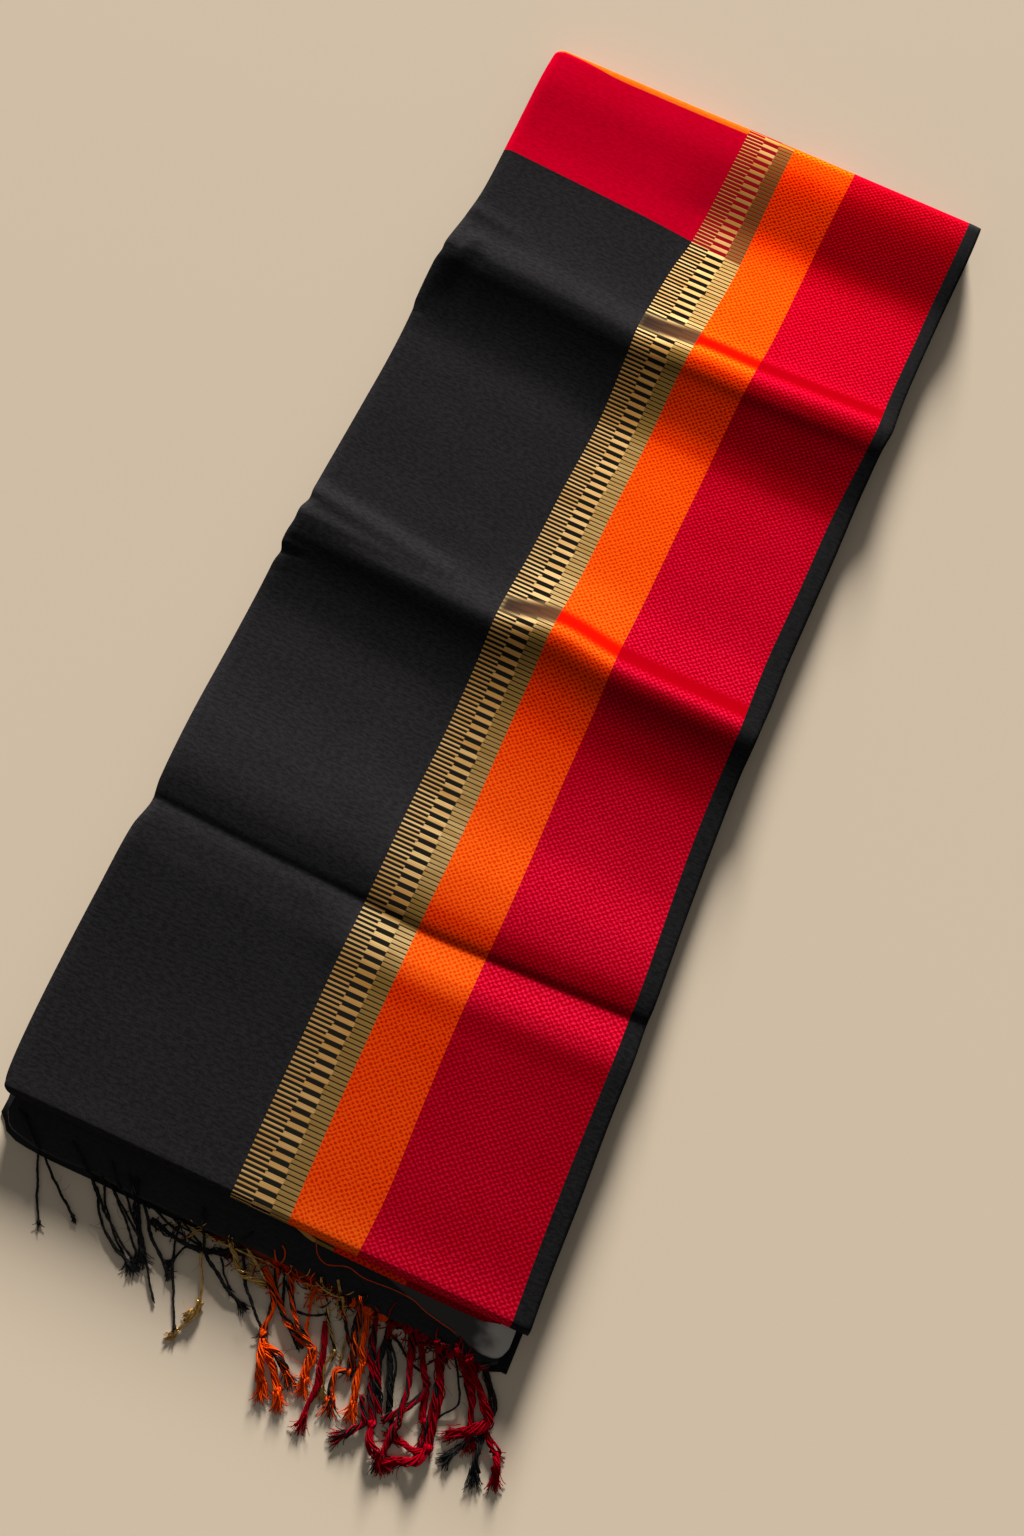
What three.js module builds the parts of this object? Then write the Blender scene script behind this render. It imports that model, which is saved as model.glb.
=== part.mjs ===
import * as THREE from "three";

// A sari folded into a long flat packet: one woven cloth, border along +X, fringe at the -Y end.
// All sizes are in millimetres, +Z is up and the packet lies on its pallu.

// Driving dimensions
const CLOTH_WIDTH = 1150;
const CLOTH_LENGTH = 5600;
const FOLDS_ACROSS = 4;
const FOLDS_ALONG = 8;
const PACKET_WIDTH = CLOTH_WIDTH / FOLDS_ACROSS;
const PACKET_LENGTH = CLOTH_LENGTH / FOLDS_ALONG;
const STRETCH_WALL = 1.7;
const LIP = 0.3;
const SEAM = 0.3;
const TOP_LEVEL = 15.5;
const FAR_EDGE = PACKET_LENGTH / 2 + 1;
const NEAR_EDGE = FAR_EDGE - PACKET_LENGTH;
const HALF_WIDTH = PACKET_WIDTH / 2;
const FRINGE_HEIGHT = 5;
const MIDDLE_DEPTH = 50;

// How the outer cloth rolls over each side of the packet: plan reach, depth of the round, lowest level
const ROLL = {
  left: { reach: 7, round: 4.2, end: 10.6 },
  far: { reach: 8, round: 7.2, end: 8.0 },
  near: { reach: 4.5, round: 5.5, end: 8.4 },
};

// Both long edges: how far each lies outside (+) or inside (-) the straight packet
const EDGES = [
  { y: -349, left: -0.3, right: 1.4 },
  { y: -340, left: 2.6, right: 0.8 },
  { y: -317, left: 4.7, right: 0.0 },
  { y: -280, left: 6.0, right: -0.5 },
  { y: -240, left: 6.3, right: -1.8 },
  { y: -203, left: 6.0, right: -2.2 },
  { y: -187, left: 3.0, right: -2.9 },
  { y: -174, left: 4.6, right: -3.0 },
  { y: -133, left: 6.4, right: -4.5 },
  { y: -87, left: 6.6, right: -5.8 },
  { y: -41, left: 6.8, right: -7.0 },
  { y: -18, left: 7.0, right: -6.8 },
  { y: 4, left: 5.2, right: -6.1 },
  { y: 28, left: 4.9, right: -6.3 },
  { y: 74, left: 4.0, right: -5.0 },
  { y: 110, left: 3.6, right: -4.1 },
  { y: 150, left: 5.6, right: -3.8 },
  { y: 172, left: 5.7, right: -3.6 },
  { y: 190, left: 4.4, right: -1.8 },
  { y: 214, left: 1.6, right: -2.1 },
  { y: 236, left: 0.0, right: -1.7 },
  { y: 281, left: 0.7, right: 0.0 },
  { y: 327, left: 1.0, right: 1.4 },
  { y: 351, left: 0.2, right: 1.6 },
];

// Rise of the top cloth over its plain level, on the limp body and on the stiffer border
const CREASES = [
  { y: -343.5, body: 0.3, border: 0.3 },
  { y: -320, body: 0.1, border: 0.1 },
  { y: -270, body: 0.0, border: 0.0 },
  { y: -228, body: 0.5, border: 0.5 },
  { y: -208, body: 0.6, border: 0.7 },
  { y: -197, body: 0.5, border: -0.3 },
  { y: -190, body: 0.1, border: -1.1 },
  { y: -186, body: 0.2, border: -0.9 },
  { y: -179, body: 1.0, border: 0.3 },
  { y: -165, body: 1.2, border: 0.4 },
  { y: -150, body: 0.6, border: -0.5 },
  { y: -130, body: -0.5, border: -2.1 },
  { y: -105, body: -1.9, border: -3.3 },
  { y: -72, body: -3.0, border: -3.9 },
  { y: -56, body: -2.8, border: -3.5 },
  { y: -42, body: -1.5, border: -2.1 },
  { y: -32, body: 0.1, border: -0.2 },
  { y: -24, body: 2.1, border: 1.9 },
  { y: -16, body: 3.6, border: 3.0 },
  { y: -9, body: 3.2, border: 2.5 },
  { y: 3, body: 2.0, border: 1.3 },
  { y: 20, body: 1.1, border: -0.1 },
  { y: 55, body: -0.1, border: -1.8 },
  { y: 90, body: -1.2, border: -3.1 },
  { y: 122, body: -2.2, border: -3.9 },
  { y: 138, body: -2.1, border: -3.3 },
  { y: 150, body: -1.1, border: -1.7 },
  { y: 162, body: 0.9, border: 0.4 },
  { y: 174, body: 3.6, border: 2.9 },
  { y: 183, body: 4.8, border: 4.0 },
  { y: 193, body: 4.0, border: 3.1 },
  { y: 205, body: 2.7, border: 1.7 },
  { y: 228, body: 1.4, border: 0.2 },
  { y: 256, body: 0.3, border: -1.4 },
  { y: 276, body: 0.1, border: -2.0 },
  { y: 292, body: 0.6, border: -0.8 },
  { y: 310, body: 1.5, border: 1.3 },
  { y: 327, body: 2.1, border: 2.5 },
  { y: 343, body: 1.7, border: 2.3 },
];
const STIFFER = { from: -52, to: 0 };

// Near edges of the stretches that stick out under the top group
const STICKING_OUT = [
  { x: -142, middle: -353.0, pallu: -360.0 },
  { x: -133, middle: -365.0, pallu: -369.0 },
  { x: -80, middle: -368.6, pallu: -371.0 },
  { x: 2, middle: -368.4, pallu: -371.5 },
  { x: 90, middle: -369.8, pallu: -372.8 },
  { x: 132, middle: -371.6, pallu: -374.0 },
  { x: 141, middle: -366.0, pallu: -371.0 },
];

// Fringe: the lines between its colours, from the cloth's edge to the tips, and each colour's own tips
const FRINGE_LINES = [
  { x: -126, tipX: -101, tipY: -399 },
  { x: -20, tipX: 5, tipY: -397 },
  { x: 15, tipX: 43, tipY: -414 },
  { x: 55, tipX: 84, tipY: -429 },
  { x: 133, tipX: 141.5, tipY: -408 },
  { x: 139, tipX: 159, tipY: -415 },
];
const FRINGE = [
  { name: "fringe_body", color: 0x17171a, tips: [[-48, -401], [-14, -420]] },
  { name: "fringe_zari", color: 0xb08a3c, tips: [[25, -407]] },
  { name: "fringe_orange", color: 0xf2530a, tips: [[62, -431]] },
  { name: "fringe_crimson", color: 0xb00420, tips: [[100, -433], [114, -428]] },
  { name: "fringe_selvedge", color: 0x1b1b1e, tips: [[147, -421]] },
];

// Hermite curve through one column of a table
function along(rows, key, by, at) {
  const last = rows.length - 1;
  let i = 0;
  while (i < last - 1 && at > rows[i + 1][by]) i += 1;
  const slope = (k) => {
    const a = rows[Math.max(k - 1, 0)];
    const b = rows[Math.min(k + 1, last)];
    return (b[key] - a[key]) / (b[by] - a[by]);
  };
  const span = rows[i + 1][by] - rows[i][by];
  const t = THREE.MathUtils.clamp((at - rows[i][by]) / span, 0, 1);
  const t2 = t * t;
  const t3 = t2 * t;
  return (2 * t3 - 3 * t2 + 1) * rows[i][key] + (t3 - 2 * t2 + t) * span * slope(i)
    + (3 * t2 - 2 * t3) * rows[i + 1][key] + (t3 - t2) * span * slope(i + 1);
}

const leftEdge = (y) => -HALF_WIDTH - along(EDGES, "left", "y", y);
const rightEdge = (y) => HALF_WIDTH + along(EDGES, "right", "y", y);

function topLevel(x, y) {
  const share = THREE.MathUtils.smoothstep(x, STIFFER.from, STIFFER.to);
  const rise = THREE.MathUtils.lerp(along(CREASES, "body", "y", y), along(CREASES, "border", "y", y), share);
  const hem = Math.max(0, 1 - (rightEdge(y) - x) / 9);
  return TOP_LEVEL + rise - 0.5 * hem * hem;
}

// One point of the outer cloth: a and b run 0 to 1 over the side roll and the end roll
function rolled(x, y, a, b, end, depth) {
  const way = Math.max(a, b);
  let turn = 0;
  if (way > 0) turn = a >= b ? (Math.PI / 4) * (b / a) : Math.PI / 2 - (Math.PI / 4) * (a / b);
  const toEnd = Math.sin(turn) ** 2;
  const pick = (key) => ROLL.left[key] * (1 - toEnd) + end[key] * toEnd;
  const arc = Math.min(way / 0.85, 1) * (Math.PI / 2);
  const rest = Math.max(0, (way - 0.85) / 0.15);
  const top = topLevel(x, y);
  const bend = depth + (pick("round") - depth) * (1 - Math.cos(arc));
  const z = top - bend - rest * Math.max(LIP, top - pick("round") - pick("end"));
  const reach = Math.sin(arc);
  return new THREE.Vector3(
    x - (ROLL.left.reach - depth) * reach * Math.cos(turn),
    y + end.side * (end.reach - depth) * reach * Math.sin(turn),
    z,
  );
}

// A closed wall from an outer and an inner grid of the same shape
function wall(outer, inner) {
  const rows = outer.length;
  const cols = outer[0].length;
  const points = [...outer.flat(), ...inner.flat()];
  const at = (layer, r, c) => layer * rows * cols + r * cols + c;
  const index = [];
  const quad = (a, b, c, d) => index.push(a, b, c, a, c, d);
  for (let r = 0; r < rows - 1; r += 1) {
    for (let c = 0; c < cols - 1; c += 1) {
      quad(at(0, r, c), at(0, r, c + 1), at(0, r + 1, c + 1), at(0, r + 1, c));
      quad(at(1, r, c), at(1, r + 1, c), at(1, r + 1, c + 1), at(1, r, c + 1));
    }
  }
  for (let c = 0; c < cols - 1; c += 1) {
    quad(at(1, 0, c), at(1, 0, c + 1), at(0, 0, c + 1), at(0, 0, c));
    quad(at(0, rows - 1, c), at(0, rows - 1, c + 1), at(1, rows - 1, c + 1), at(1, rows - 1, c));
  }
  for (let r = 0; r < rows - 1; r += 1) {
    quad(at(0, r, 0), at(0, r + 1, 0), at(1, r + 1, 0), at(1, r, 0));
    quad(at(1, r, cols - 1), at(1, r + 1, cols - 1), at(0, r + 1, cols - 1), at(0, r, cols - 1));
  }
  return closed(points, index);
}

// A closed solid through sections of equal point count; each section runs anticlockwise seen from ahead
function loft(sections) {
  const n = sections[0].length;
  const points = sections.flat();
  const index = [];
  for (let s = 0; s < sections.length - 1; s += 1) {
    for (let k = 0; k < n; k += 1) {
      const a = s * n + k;
      const b = s * n + ((k + 1) % n);
      index.push(a, b, b + n, a, b + n, a + n);
    }
  }
  const last = (sections.length - 1) * n;
  for (const [a, b, c] of capFaces(sections[0])) index.push(c, b, a);
  for (const [a, b, c] of capFaces(sections[sections.length - 1])) index.push(last + a, last + b, last + c);
  return closed(points, index);
}

// Triangles across a section's own plane, wound like the section itself
function capFaces(section) {
  const normal = new THREE.Vector3();
  section.forEach((p, k) => {
    const q = section[(k + 1) % section.length];
    normal.add(new THREE.Vector3().crossVectors(p, q));
  });
  normal.normalize();
  const u = new THREE.Vector3(0, 0, 1);
  if (Math.abs(normal.z) > 0.7) u.set(0, 1, 0);
  const v = new THREE.Vector3().crossVectors(normal, u).normalize();
  u.crossVectors(v, normal);
  const flat = section.map((p) => new THREE.Vector2(p.dot(u), p.dot(v)));
  return THREE.ShapeUtils.triangulateShape(flat, []);
}

function closed(points, index) {
  const geometry = new THREE.BufferGeometry();
  const places = points.flatMap((p) => [p.x, p.y, p.z]);
  geometry.setAttribute("position", new THREE.Float32BufferAttribute(places, 3));
  geometry.setIndex(index);
  if (signedVolume(points, index) < 0) {
    for (let k = 0; k < index.length; k += 3) [index[k], index[k + 1]] = [index[k + 1], index[k]];
    geometry.setIndex(index);
  }
  geometry.computeVertexNormals();
  return geometry;
}

function signedVolume(points, index) {
  let sum = 0;
  for (let k = 0; k < index.length; k += 3) {
    const [a, b, c] = [points[index[k]], points[index[k + 1]], points[index[k + 2]]];
    sum += a.dot(new THREE.Vector3().crossVectors(b, c));
  }
  return sum / 6;
}

// Places along the packet: the near roll, every crease row, the far roll
const LENGTHWISE = [
  ...[1, 0.85, 0.6, 0.35, 0.15].map((b) => ({ y: NEAR_EDGE + ROLL.near.reach, b, end: "near" })),
  ...CREASES.map(({ y }) => ({ y, b: 0, end: "far" })),
  ...[0.15, 0.3, 0.5, 0.7, 0.85, 1].map((b) => ({ y: FAR_EDGE - ROLL.far.reach, b, end: "far" })),
];
const CROSSWISE = [0, 0.012, 0.035, 0.12, 0.22, 0.32, 0.42, 0.5, 0.58, 0.68, 0.78, 0.88, 0.95, 1];
const SIDE_ROLL = [0.2, 0.45, 0.7, 0.85, 1];

function topStretch() {
  const grid = (depth) => LENGTHWISE.map(({ y, b, end }) => {
    const inset = leftEdge(y) + ROLL.left.reach;
    const side = end === "near" ? -1 : 1;
    const roll = { ...ROLL[end], side };
    const across = (f) => THREE.MathUtils.lerp(rightEdge(y), inset, f);
    const flat = CROSSWISE.map((f) => rolled(across(f), y, 0, b, roll, depth));
    return [...flat, ...SIDE_ROLL.map((a) => rolled(inset, y, a, b, roll, depth))];
  });
  return wall(grid(0), grid(STRETCH_WALL));
}

// The underside stretch: flat on the table, its far end turned up into the lower half of the far fold
function palluStretch() {
  const columns = [0, 0.06, 0.2, 0.35, 0.5, 0.65, 0.8, 0.93, 0.98, 1];
  const flatRows = [0, 0.02, 0.06, 0.25, 0.3, 0.5, 0.52, 0.6, 0.76, 0.8, 0.88, 1];
  const grid = (depth) => {
    const edge = (y, f) => THREE.MathUtils.lerp(rightEdge(y) - 1.2, leftEdge(y) + 0.6, f);
    const rows = flatRows.map((t) => columns.map((f) => {
      const guess = edge(NEAR_EDGE, f);
      const from = along(STICKING_OUT, "pallu", "x", THREE.MathUtils.clamp(guess, -142, 141));
      const y = THREE.MathUtils.lerp(from, FAR_EDGE - ROLL.far.reach, t);
      return new THREE.Vector3(edge(Math.max(y, NEAR_EDGE), f), y, depth);
    }));
    for (const b of [0.15, 0.3, 0.5, 0.7, 0.85, 1]) {
      const arc = Math.min(b / 0.85, 1) * (Math.PI / 2);
      const rest = Math.max(0, (b - 0.85) / 0.15);
      const y = FAR_EDGE - ROLL.far.reach;
      const lift = depth + (7 - depth) * (1 - Math.cos(arc)) + rest * (ROLL.far.end - SEAM - 7);
      const round = 8 * (1 - Math.sqrt(Math.max(0, 1 - Math.sin(arc) ** 2)));
      rows.push(columns.map((f) => new THREE.Vector3(
        THREE.MathUtils.lerp(rightEdge(y) - 1.2, leftEdge(y) + 0.6 + round, f),
        y + (ROLL.far.reach - depth) * Math.sin(arc),
        lift,
      )));
    }
    return rows;
  };
  return wall(grid(0), grid(STRETCH_WALL));
}

// The black stretch that sticks out at the near end: a folded edge, two walls and the round between them
function middleStretch() {
  const low = STRETCH_WALL + SEAM;
  const high = ROLL.near.end - SEAM;
  const radius = (high - low) / 2;
  const back = NEAR_EDGE + MIDDLE_DEPTH;
  const sections = [-138.5, -133, -110, -80, -40, 2, 45, 90, 118, 132, 137].map((x) => {
    const nose = along(STICKING_OUT, "middle", "x", x) + radius;
    const ring = (r, from, to) => {
      const steps = 8;
      return Array.from({ length: steps + 1 }, (_, k) => {
        const angle = THREE.MathUtils.lerp(from, to, k / steps);
        return new THREE.Vector3(x, nose - r * Math.cos(angle), low + radius + r * Math.sin(angle));
      });
    };
    const outer = ring(radius, -Math.PI / 2, Math.PI / 2);
    const inner = ring(radius - STRETCH_WALL, Math.PI / 2, -Math.PI / 2);
    const end = (z) => new THREE.Vector3(x, back, z);
    return [end(low), ...outer, end(high), end(high - STRETCH_WALL), ...inner, end(low + STRETCH_WALL)];
  });
  return loft(sections);
}

// Everything hidden between them, as one solid whose sides are grooved into the stretches' folded edges
function foldedLayers() {
  const inside = STRETCH_WALL + SEAM;
  const reach = ROLL.far.reach - inside;
  const back = NEAR_EDGE + MIDDLE_DEPTH + SEAM;
  const stations = [
    ...[0.95, 0.7, 0.35].map((b) => ({ y: NEAR_EDGE + ROLL.near.reach, b, end: -1, low: ROLL.near.end })),
    ...CREASES.filter(({ y }) => y < back).map(({ y }) => ({ y, b: 0, end: -1, low: ROLL.near.end })),
    { y: back, b: 0, end: 1, low: ROLL.near.end },
    { y: back + 0.6, b: 0, end: 1, low: inside },
    ...CREASES.filter(({ y }) => y > back + 0.6).map(({ y }) => ({ y, b: 0, end: 1, low: inside })),
    ...[0.3, 0.6, 0.85].map((b) => ({ y: FAR_EDGE - ROLL.far.reach, b, end: 1, low: inside })),
  ];
  return loft(stations.map(({ y, b, end, low }) => {
    const arc = b * (Math.PI / 2);
    const endReach = end < 0 ? ROLL.near.reach - inside : reach;
    const fall = b === 0 ? 0 : (end < 0 ? ROLL.near.round - 1 : 5.2) * (1 - Math.cos(arc));
    const rise = b > 0 && end > 0 ? 5.2 * (1 - Math.cos(arc)) : 0;
    const at = y + end * endReach * Math.sin(arc);
    const corner = (end < 0 ? 12 : 9) * (1 - Math.cos(arc));
    const left = leftEdge(y) + corner;
    const right = rightEdge(y);
    const ceiling = (x) => topLevel(x, y) - inside - fall - 0.15;
    const floor = low + rise;
    const p = (x, z) => new THREE.Vector3(x, at, z);
    const ring = [];
    const groove = (side, from, to, folds) => {
      for (let k = 0; k < folds; k += 1) {
        const z = (t) => THREE.MathUtils.lerp(from, to, (k + t) / folds);
        const tuck = 0.5 * ((k * 7) % 3);
        ring.push(p(side(1.4), z(0.06)), p(side(0.1 + tuck), z(0.3)));
        ring.push(p(side(0.1 + tuck), z(0.7)), p(side(1.4), z(0.94)));
      }
    };
    groove((d) => right - 1.6 - d, floor, ceiling(right - 3) - 0.2, 5);
    for (const f of [0.02, 0.12, 0.24, 0.36, 0.46, 0.56, 0.68, 0.8, 0.9]) {
      const x = THREE.MathUtils.lerp(right - 3, left + ROLL.left.reach + 1.5, f);
      ring.push(p(x, ceiling(x)));
    }
    const roof = ceiling(left + ROLL.left.reach);
    const lip = b > 0 ? ROLL.left.end : topLevel(left + ROLL.left.reach, y) - ROLL.left.round - LIP;
    const ledge = Math.min(ROLL.left.end - SEAM, lip - SEAM, THREE.MathUtils.lerp(floor, roof, 0.75));
    const slump = Math.min(1, (roof - ledge) / 3);
    ring.push(p(left + ROLL.left.reach, roof - 0.05), p(left + 3.6, roof - 0.8 * slump));
    ring.push(p(left + 2.1, roof - 2.4 * slump), p(left + 2.1, ledge));
    groove((d) => left + 0.9 + d, ledge, floor, 4);
    return ring;
  }));
}

// A plain solid over the reach of one colour of tassels, thinning towards the tips
function fringeBlock({ tips }, k) {
  const base = (x) => [x, along(STICKING_OUT, "pallu", "x", x) - 2 * SEAM];
  const [from, to] = [FRINGE_LINES[k], FRINGE_LINES[k + 1]];
  const [x0, x1] = [from.x + SEAM / 2, to.x - SEAM / 2];
  const level = (z, pulledIn) => {
    const corner = (line, x, away) => {
      const [bx, by] = base(x);
      const tipX = line.tipX + away;
      return [THREE.MathUtils.lerp(tipX, bx, pulledIn), THREE.MathUtils.lerp(line.tipY, by, pulledIn)];
    };
    const edge = [0, 0.2, 0.4, 0.6, 0.8, 1].map((t) => base(THREE.MathUtils.lerp(x0, x1, t)));
    const ends = tips.map(([x, y]) => [x, y + 60 * pulledIn]);
    const outline = [corner(from, x0, SEAM / 2), ...ends, corner(to, x1, -SEAM / 2), ...edge.reverse()];
    return outline.map(([x, y]) => new THREE.Vector3(x, y, z));
  };
  return loft([level(0, 0), level(FRINGE_HEIGHT * 0.45, 0), level(FRINGE_HEIGHT, 0.14)]);
}

const part = new THREE.Group();
function add(name, geometry, color) {
  const material = new THREE.MeshStandardMaterial({ color, roughness: 0.7, metalness: 0 });
  const mesh = new THREE.Mesh(geometry, material);
  mesh.name = name;
  part.add(mesh);
}

add("top_stretch", topStretch(), 0x1c1c1f);
add("middle_stretch", middleStretch(), 0x151517);
add("pallu_stretch", palluStretch(), 0xb3061f);
add("folded_layers", foldedLayers(), 0x8c0a1c);
FRINGE.forEach((row, k) => add(row.name, fringeBlock(row, k), row.color));

// The frame's origin is the middle of the part's footprint, at the level it rests on
part.updateMatrixWorld(true);
const box = new THREE.Box3().setFromObject(part);
const centre = box.getCenter(new THREE.Vector3());
part.children.forEach((mesh) => mesh.geometry.translate(-centre.x, -centre.y, -box.min.z));

export default part;
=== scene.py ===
# %% [markdown]
# # A folded sari
# This lesson dresses a long flat packet: one woven cloth, folded in four across and in eight along.
# The packed frame holds plain solids at their real size. Each of them is replaced here by thin
# cloth, and every piece is drawn in packet millimetres and put into the frame at the end.

# %% Load the frame
import math
import bpy
import numpy as np
from mathutils import Matrix, Vector


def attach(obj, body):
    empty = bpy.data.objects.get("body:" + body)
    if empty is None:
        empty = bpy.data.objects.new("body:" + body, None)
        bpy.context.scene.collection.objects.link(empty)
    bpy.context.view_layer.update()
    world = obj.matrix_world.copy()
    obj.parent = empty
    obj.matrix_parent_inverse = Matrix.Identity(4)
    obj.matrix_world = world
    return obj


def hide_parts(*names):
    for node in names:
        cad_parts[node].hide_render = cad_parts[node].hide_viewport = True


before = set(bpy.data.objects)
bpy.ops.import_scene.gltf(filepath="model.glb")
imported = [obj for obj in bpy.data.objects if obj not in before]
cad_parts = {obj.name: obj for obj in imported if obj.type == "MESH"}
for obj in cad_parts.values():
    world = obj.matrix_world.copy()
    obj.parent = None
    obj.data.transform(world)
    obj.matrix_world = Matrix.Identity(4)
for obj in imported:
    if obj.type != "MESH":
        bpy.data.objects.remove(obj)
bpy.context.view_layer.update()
MM = 0.001
# Where the middle of the packet lies in the frame, in millimetres
PACKET_MIDDLE = np.array((-4.0, 41.0, 0.0))
print("frame nodes:", sorted(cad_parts))

# %% [markdown]
# ## The camera
# The packet is seen from above its near end. The camera stands at a real place over the table, so
# the far end looks a little narrower than the near one. It is aimed by its forward and up directions.

# %% Camera
def in_frame(points):
    """Packet millimetres to metres in the frame."""
    return (np.asarray(points, float) + PACKET_MIDDLE) * MM


CAMERA_PLACE = (43.87, -247.27, 667.79)
FORWARD = Vector((-0.034826, 0.234265, -0.971549))
UP = Vector((-0.410692, 0.882907, 0.227613))
camera = bpy.data.objects.new("camera", bpy.data.cameras.new("camera"))
bpy.context.scene.collection.objects.link(camera)
camera.data.lens = 28.97
camera.data.sensor_width = 36
camera.data.clip_start = 0.01
axes = Matrix((FORWARD.cross(UP), UP, -FORWARD)).transposed().to_4x4()
camera.matrix_world = Matrix.Translation(Vector(in_frame(CAMERA_PLACE))) @ axes
bpy.context.scene.camera = camera
print("camera height in mm:", round(camera.location.z / MM))

# %% [markdown]
# ## Floor and light
# A plain pale floor, one soft lamp low beyond the far end, and a weak even light from all around. Silk
# shows its folds by its gloss: what leans towards the lamp shines, and what leans away goes deep and
# dark, and the cloth's colours are also painted lighter and darker with the slope in the same way. The
# lamp is a sun, so its light comes from one direction all along the packet.

# %% Floor and light
bpy.ops.mesh.primitive_plane_add(size=40, location=(0, 0, -0.3 * MM))
floor = bpy.context.object
floor.name = "floor"
floor_finish = bpy.data.materials.new("pale_floor")
floor_finish.use_nodes = True
matt = floor_finish.node_tree.nodes["Principled BSDF"].inputs
matt["Base Color"].default_value = (0.66, 0.55, 0.42, 1)
matt["Roughness"].default_value = 0.9
matt["Specular IOR Level"].default_value = 0.1
floor.data.materials.append(floor_finish)

lamp = bpy.data.objects.new("far_lamp", bpy.data.lights.new("far_lamp", "SUN"))
bpy.context.scene.collection.objects.link(lamp)
lamp.data.angle = math.radians(12)
lamp.data.energy = 10.8
lamp.data.color = (1.0, 0.97, 0.93)
lamp.rotation_euler = Vector((-800, 3000, 720)).to_track_quat("Z", "Y").to_euler()
world = bpy.data.worlds.new("studio")
bpy.context.scene.world = world
world.use_nodes = True
sky = world.node_tree.nodes["Background"]
sky.inputs["Color"].default_value = (1.0, 0.98, 0.95, 1)
sky.inputs["Strength"].default_value = 0.16
bpy.context.scene.view_settings.view_transform = "Standard"
print("lamp strength:", round(lamp.data.energy, 1))

# %% [markdown]
# ## Writing materials as sums
# A weave is arithmetic on two numbers: how far across the cloth a point is, and how far along.
# This class holds one socket, and Python's operators on it add the Math nodes.

# %% Shader arithmetic
class Value:
    """One output socket; an expression on values adds its Math nodes."""

    def __init__(self, socket):
        self.socket = socket

    def node(self, kind, settings, inputs, output=0):
        """A node of any kind: its settings first, then the values or links of its sockets."""
        tree = self.socket.id_data
        made = tree.nodes.new(kind)
        for name, value in settings.items():
            setattr(made, name, value)
        for name, value in inputs.items():
            if isinstance(value, Value):
                tree.links.new(value.socket, made.inputs[name])
            else:
                made.inputs[name].default_value = value
        return Value(made.outputs[output])

    def math(self, operation, *values):
        return self.node("ShaderNodeMath", {"operation": operation}, dict(enumerate(values)))

    def __add__(self, other):
        return self.math("ADD", self, other)

    def __sub__(self, other):
        return self.math("SUBTRACT", self, other)

    def __rsub__(self, other):
        return self.math("SUBTRACT", other, self)

    def __mul__(self, other):
        return self.math("MULTIPLY", self, other)

    __radd__ = __add__
    __rmul__ = __mul__

    def __truediv__(self, other):
        return self.math("DIVIDE", self, other)

    def cos(self):
        return self.math("COSINE", self)

    def fract(self):
        return self.math("FRACT", self)

    def floor(self):
        return self.math("FLOOR", self)

    def above(self, edge, soft):
        """0 below the edge and 1 above it, turning over a width of soft."""
        span = {"From Min": edge - soft / 2, "From Max": edge + soft / 2, "Value": self}
        return self.node("ShaderNodeMapRange", {"interpolation_type": "SMOOTHSTEP"}, span)

    def mix(self, low, high):
        """The colour low where this value is 0, and high where it is 1."""
        settings = {"data_type": "RGBA", "clamp_factor": True}
        return self.node("ShaderNodeMix", settings, {0: self, 6: low, 7: high}, 2)

    def noise(self, other, size, size_other, detail=2.0, seed=0.0):
        """Uneven cloth, from 0 to 1: patches of the given sizes along this value and the other one."""
        where = self.node("ShaderNodeCombineXYZ", {}, {0: self / size, 1: other / size_other, 2: seed})
        return self.node("ShaderNodeTexNoise", {}, {"Vector": where, "Scale": 1.0, "Detail": detail})

    def attribute(self, name):
        """A number stored on each point of the mesh."""
        return self.node("ShaderNodeAttribute", {"attribute_name": name}, {}, 2)


print("values can be:", [name for name in vars(Value) if not name.startswith("_")])

# %% New materials
def finish(name, **constants):
    """A new cloth material: its shader, and millimetres across (u) and along (v) the cloth."""
    material = bpy.data.materials.new(name)
    material.use_nodes = True
    tree = material.node_tree
    shader = tree.nodes["Principled BSDF"]
    for socket, value in constants.items():
        shader.inputs[socket.replace("_", " ")].default_value = value
    place = tree.nodes.new("ShaderNodeUVMap")
    place.uv_map = "cloth"
    split = tree.nodes.new("ShaderNodeSeparateXYZ")
    tree.links.new(place.outputs[0], split.inputs[0])
    u, v = [Value(split.outputs[k]) * (1 / MM) for k in (0, 1)]
    return material, shader, u, v


def feed(shader, **values):
    """Links values to the shader's sockets."""
    for socket, value in values.items():
        shader.id_data.links.new(value.socket, shader.inputs[socket.replace("_", " ")])


def relief(shader, height, depth):
    """Raises the threads: height runs from 0 to 1, depth is in millimetres."""
    feed(shader, Normal=height.node("ShaderNodeBump", {}, {"Height": height, "Distance": depth * MM,
                                                           "Strength": 1.0}))


print("helpers for materials:", finish.__name__, feed.__name__, relief.__name__)

# %% [markdown]
# ## Five bands across the cloth
# From the selvedge inwards the loom has five warps: a plain black selvedge, a crimson and an orange
# band in a small raised diamond weave, a zari band of flat gilt thread, and the plain black body.
# Widths are measured across the cloth from the selvedge, and the left side rolls over at the last one.

# %% Band widths
SELVEDGE = 9.5
CRIMSON = 86.0
ORANGE = 125.5
ZARI = 158.5
BAND_ENDS = [SELVEDGE, CRIMSON, ORANGE, ZARI]
FLAT_BODY = 281.0
print("bands end in mm at:", BAND_ENDS, "and the flat body at:", FLAT_BODY)
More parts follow.
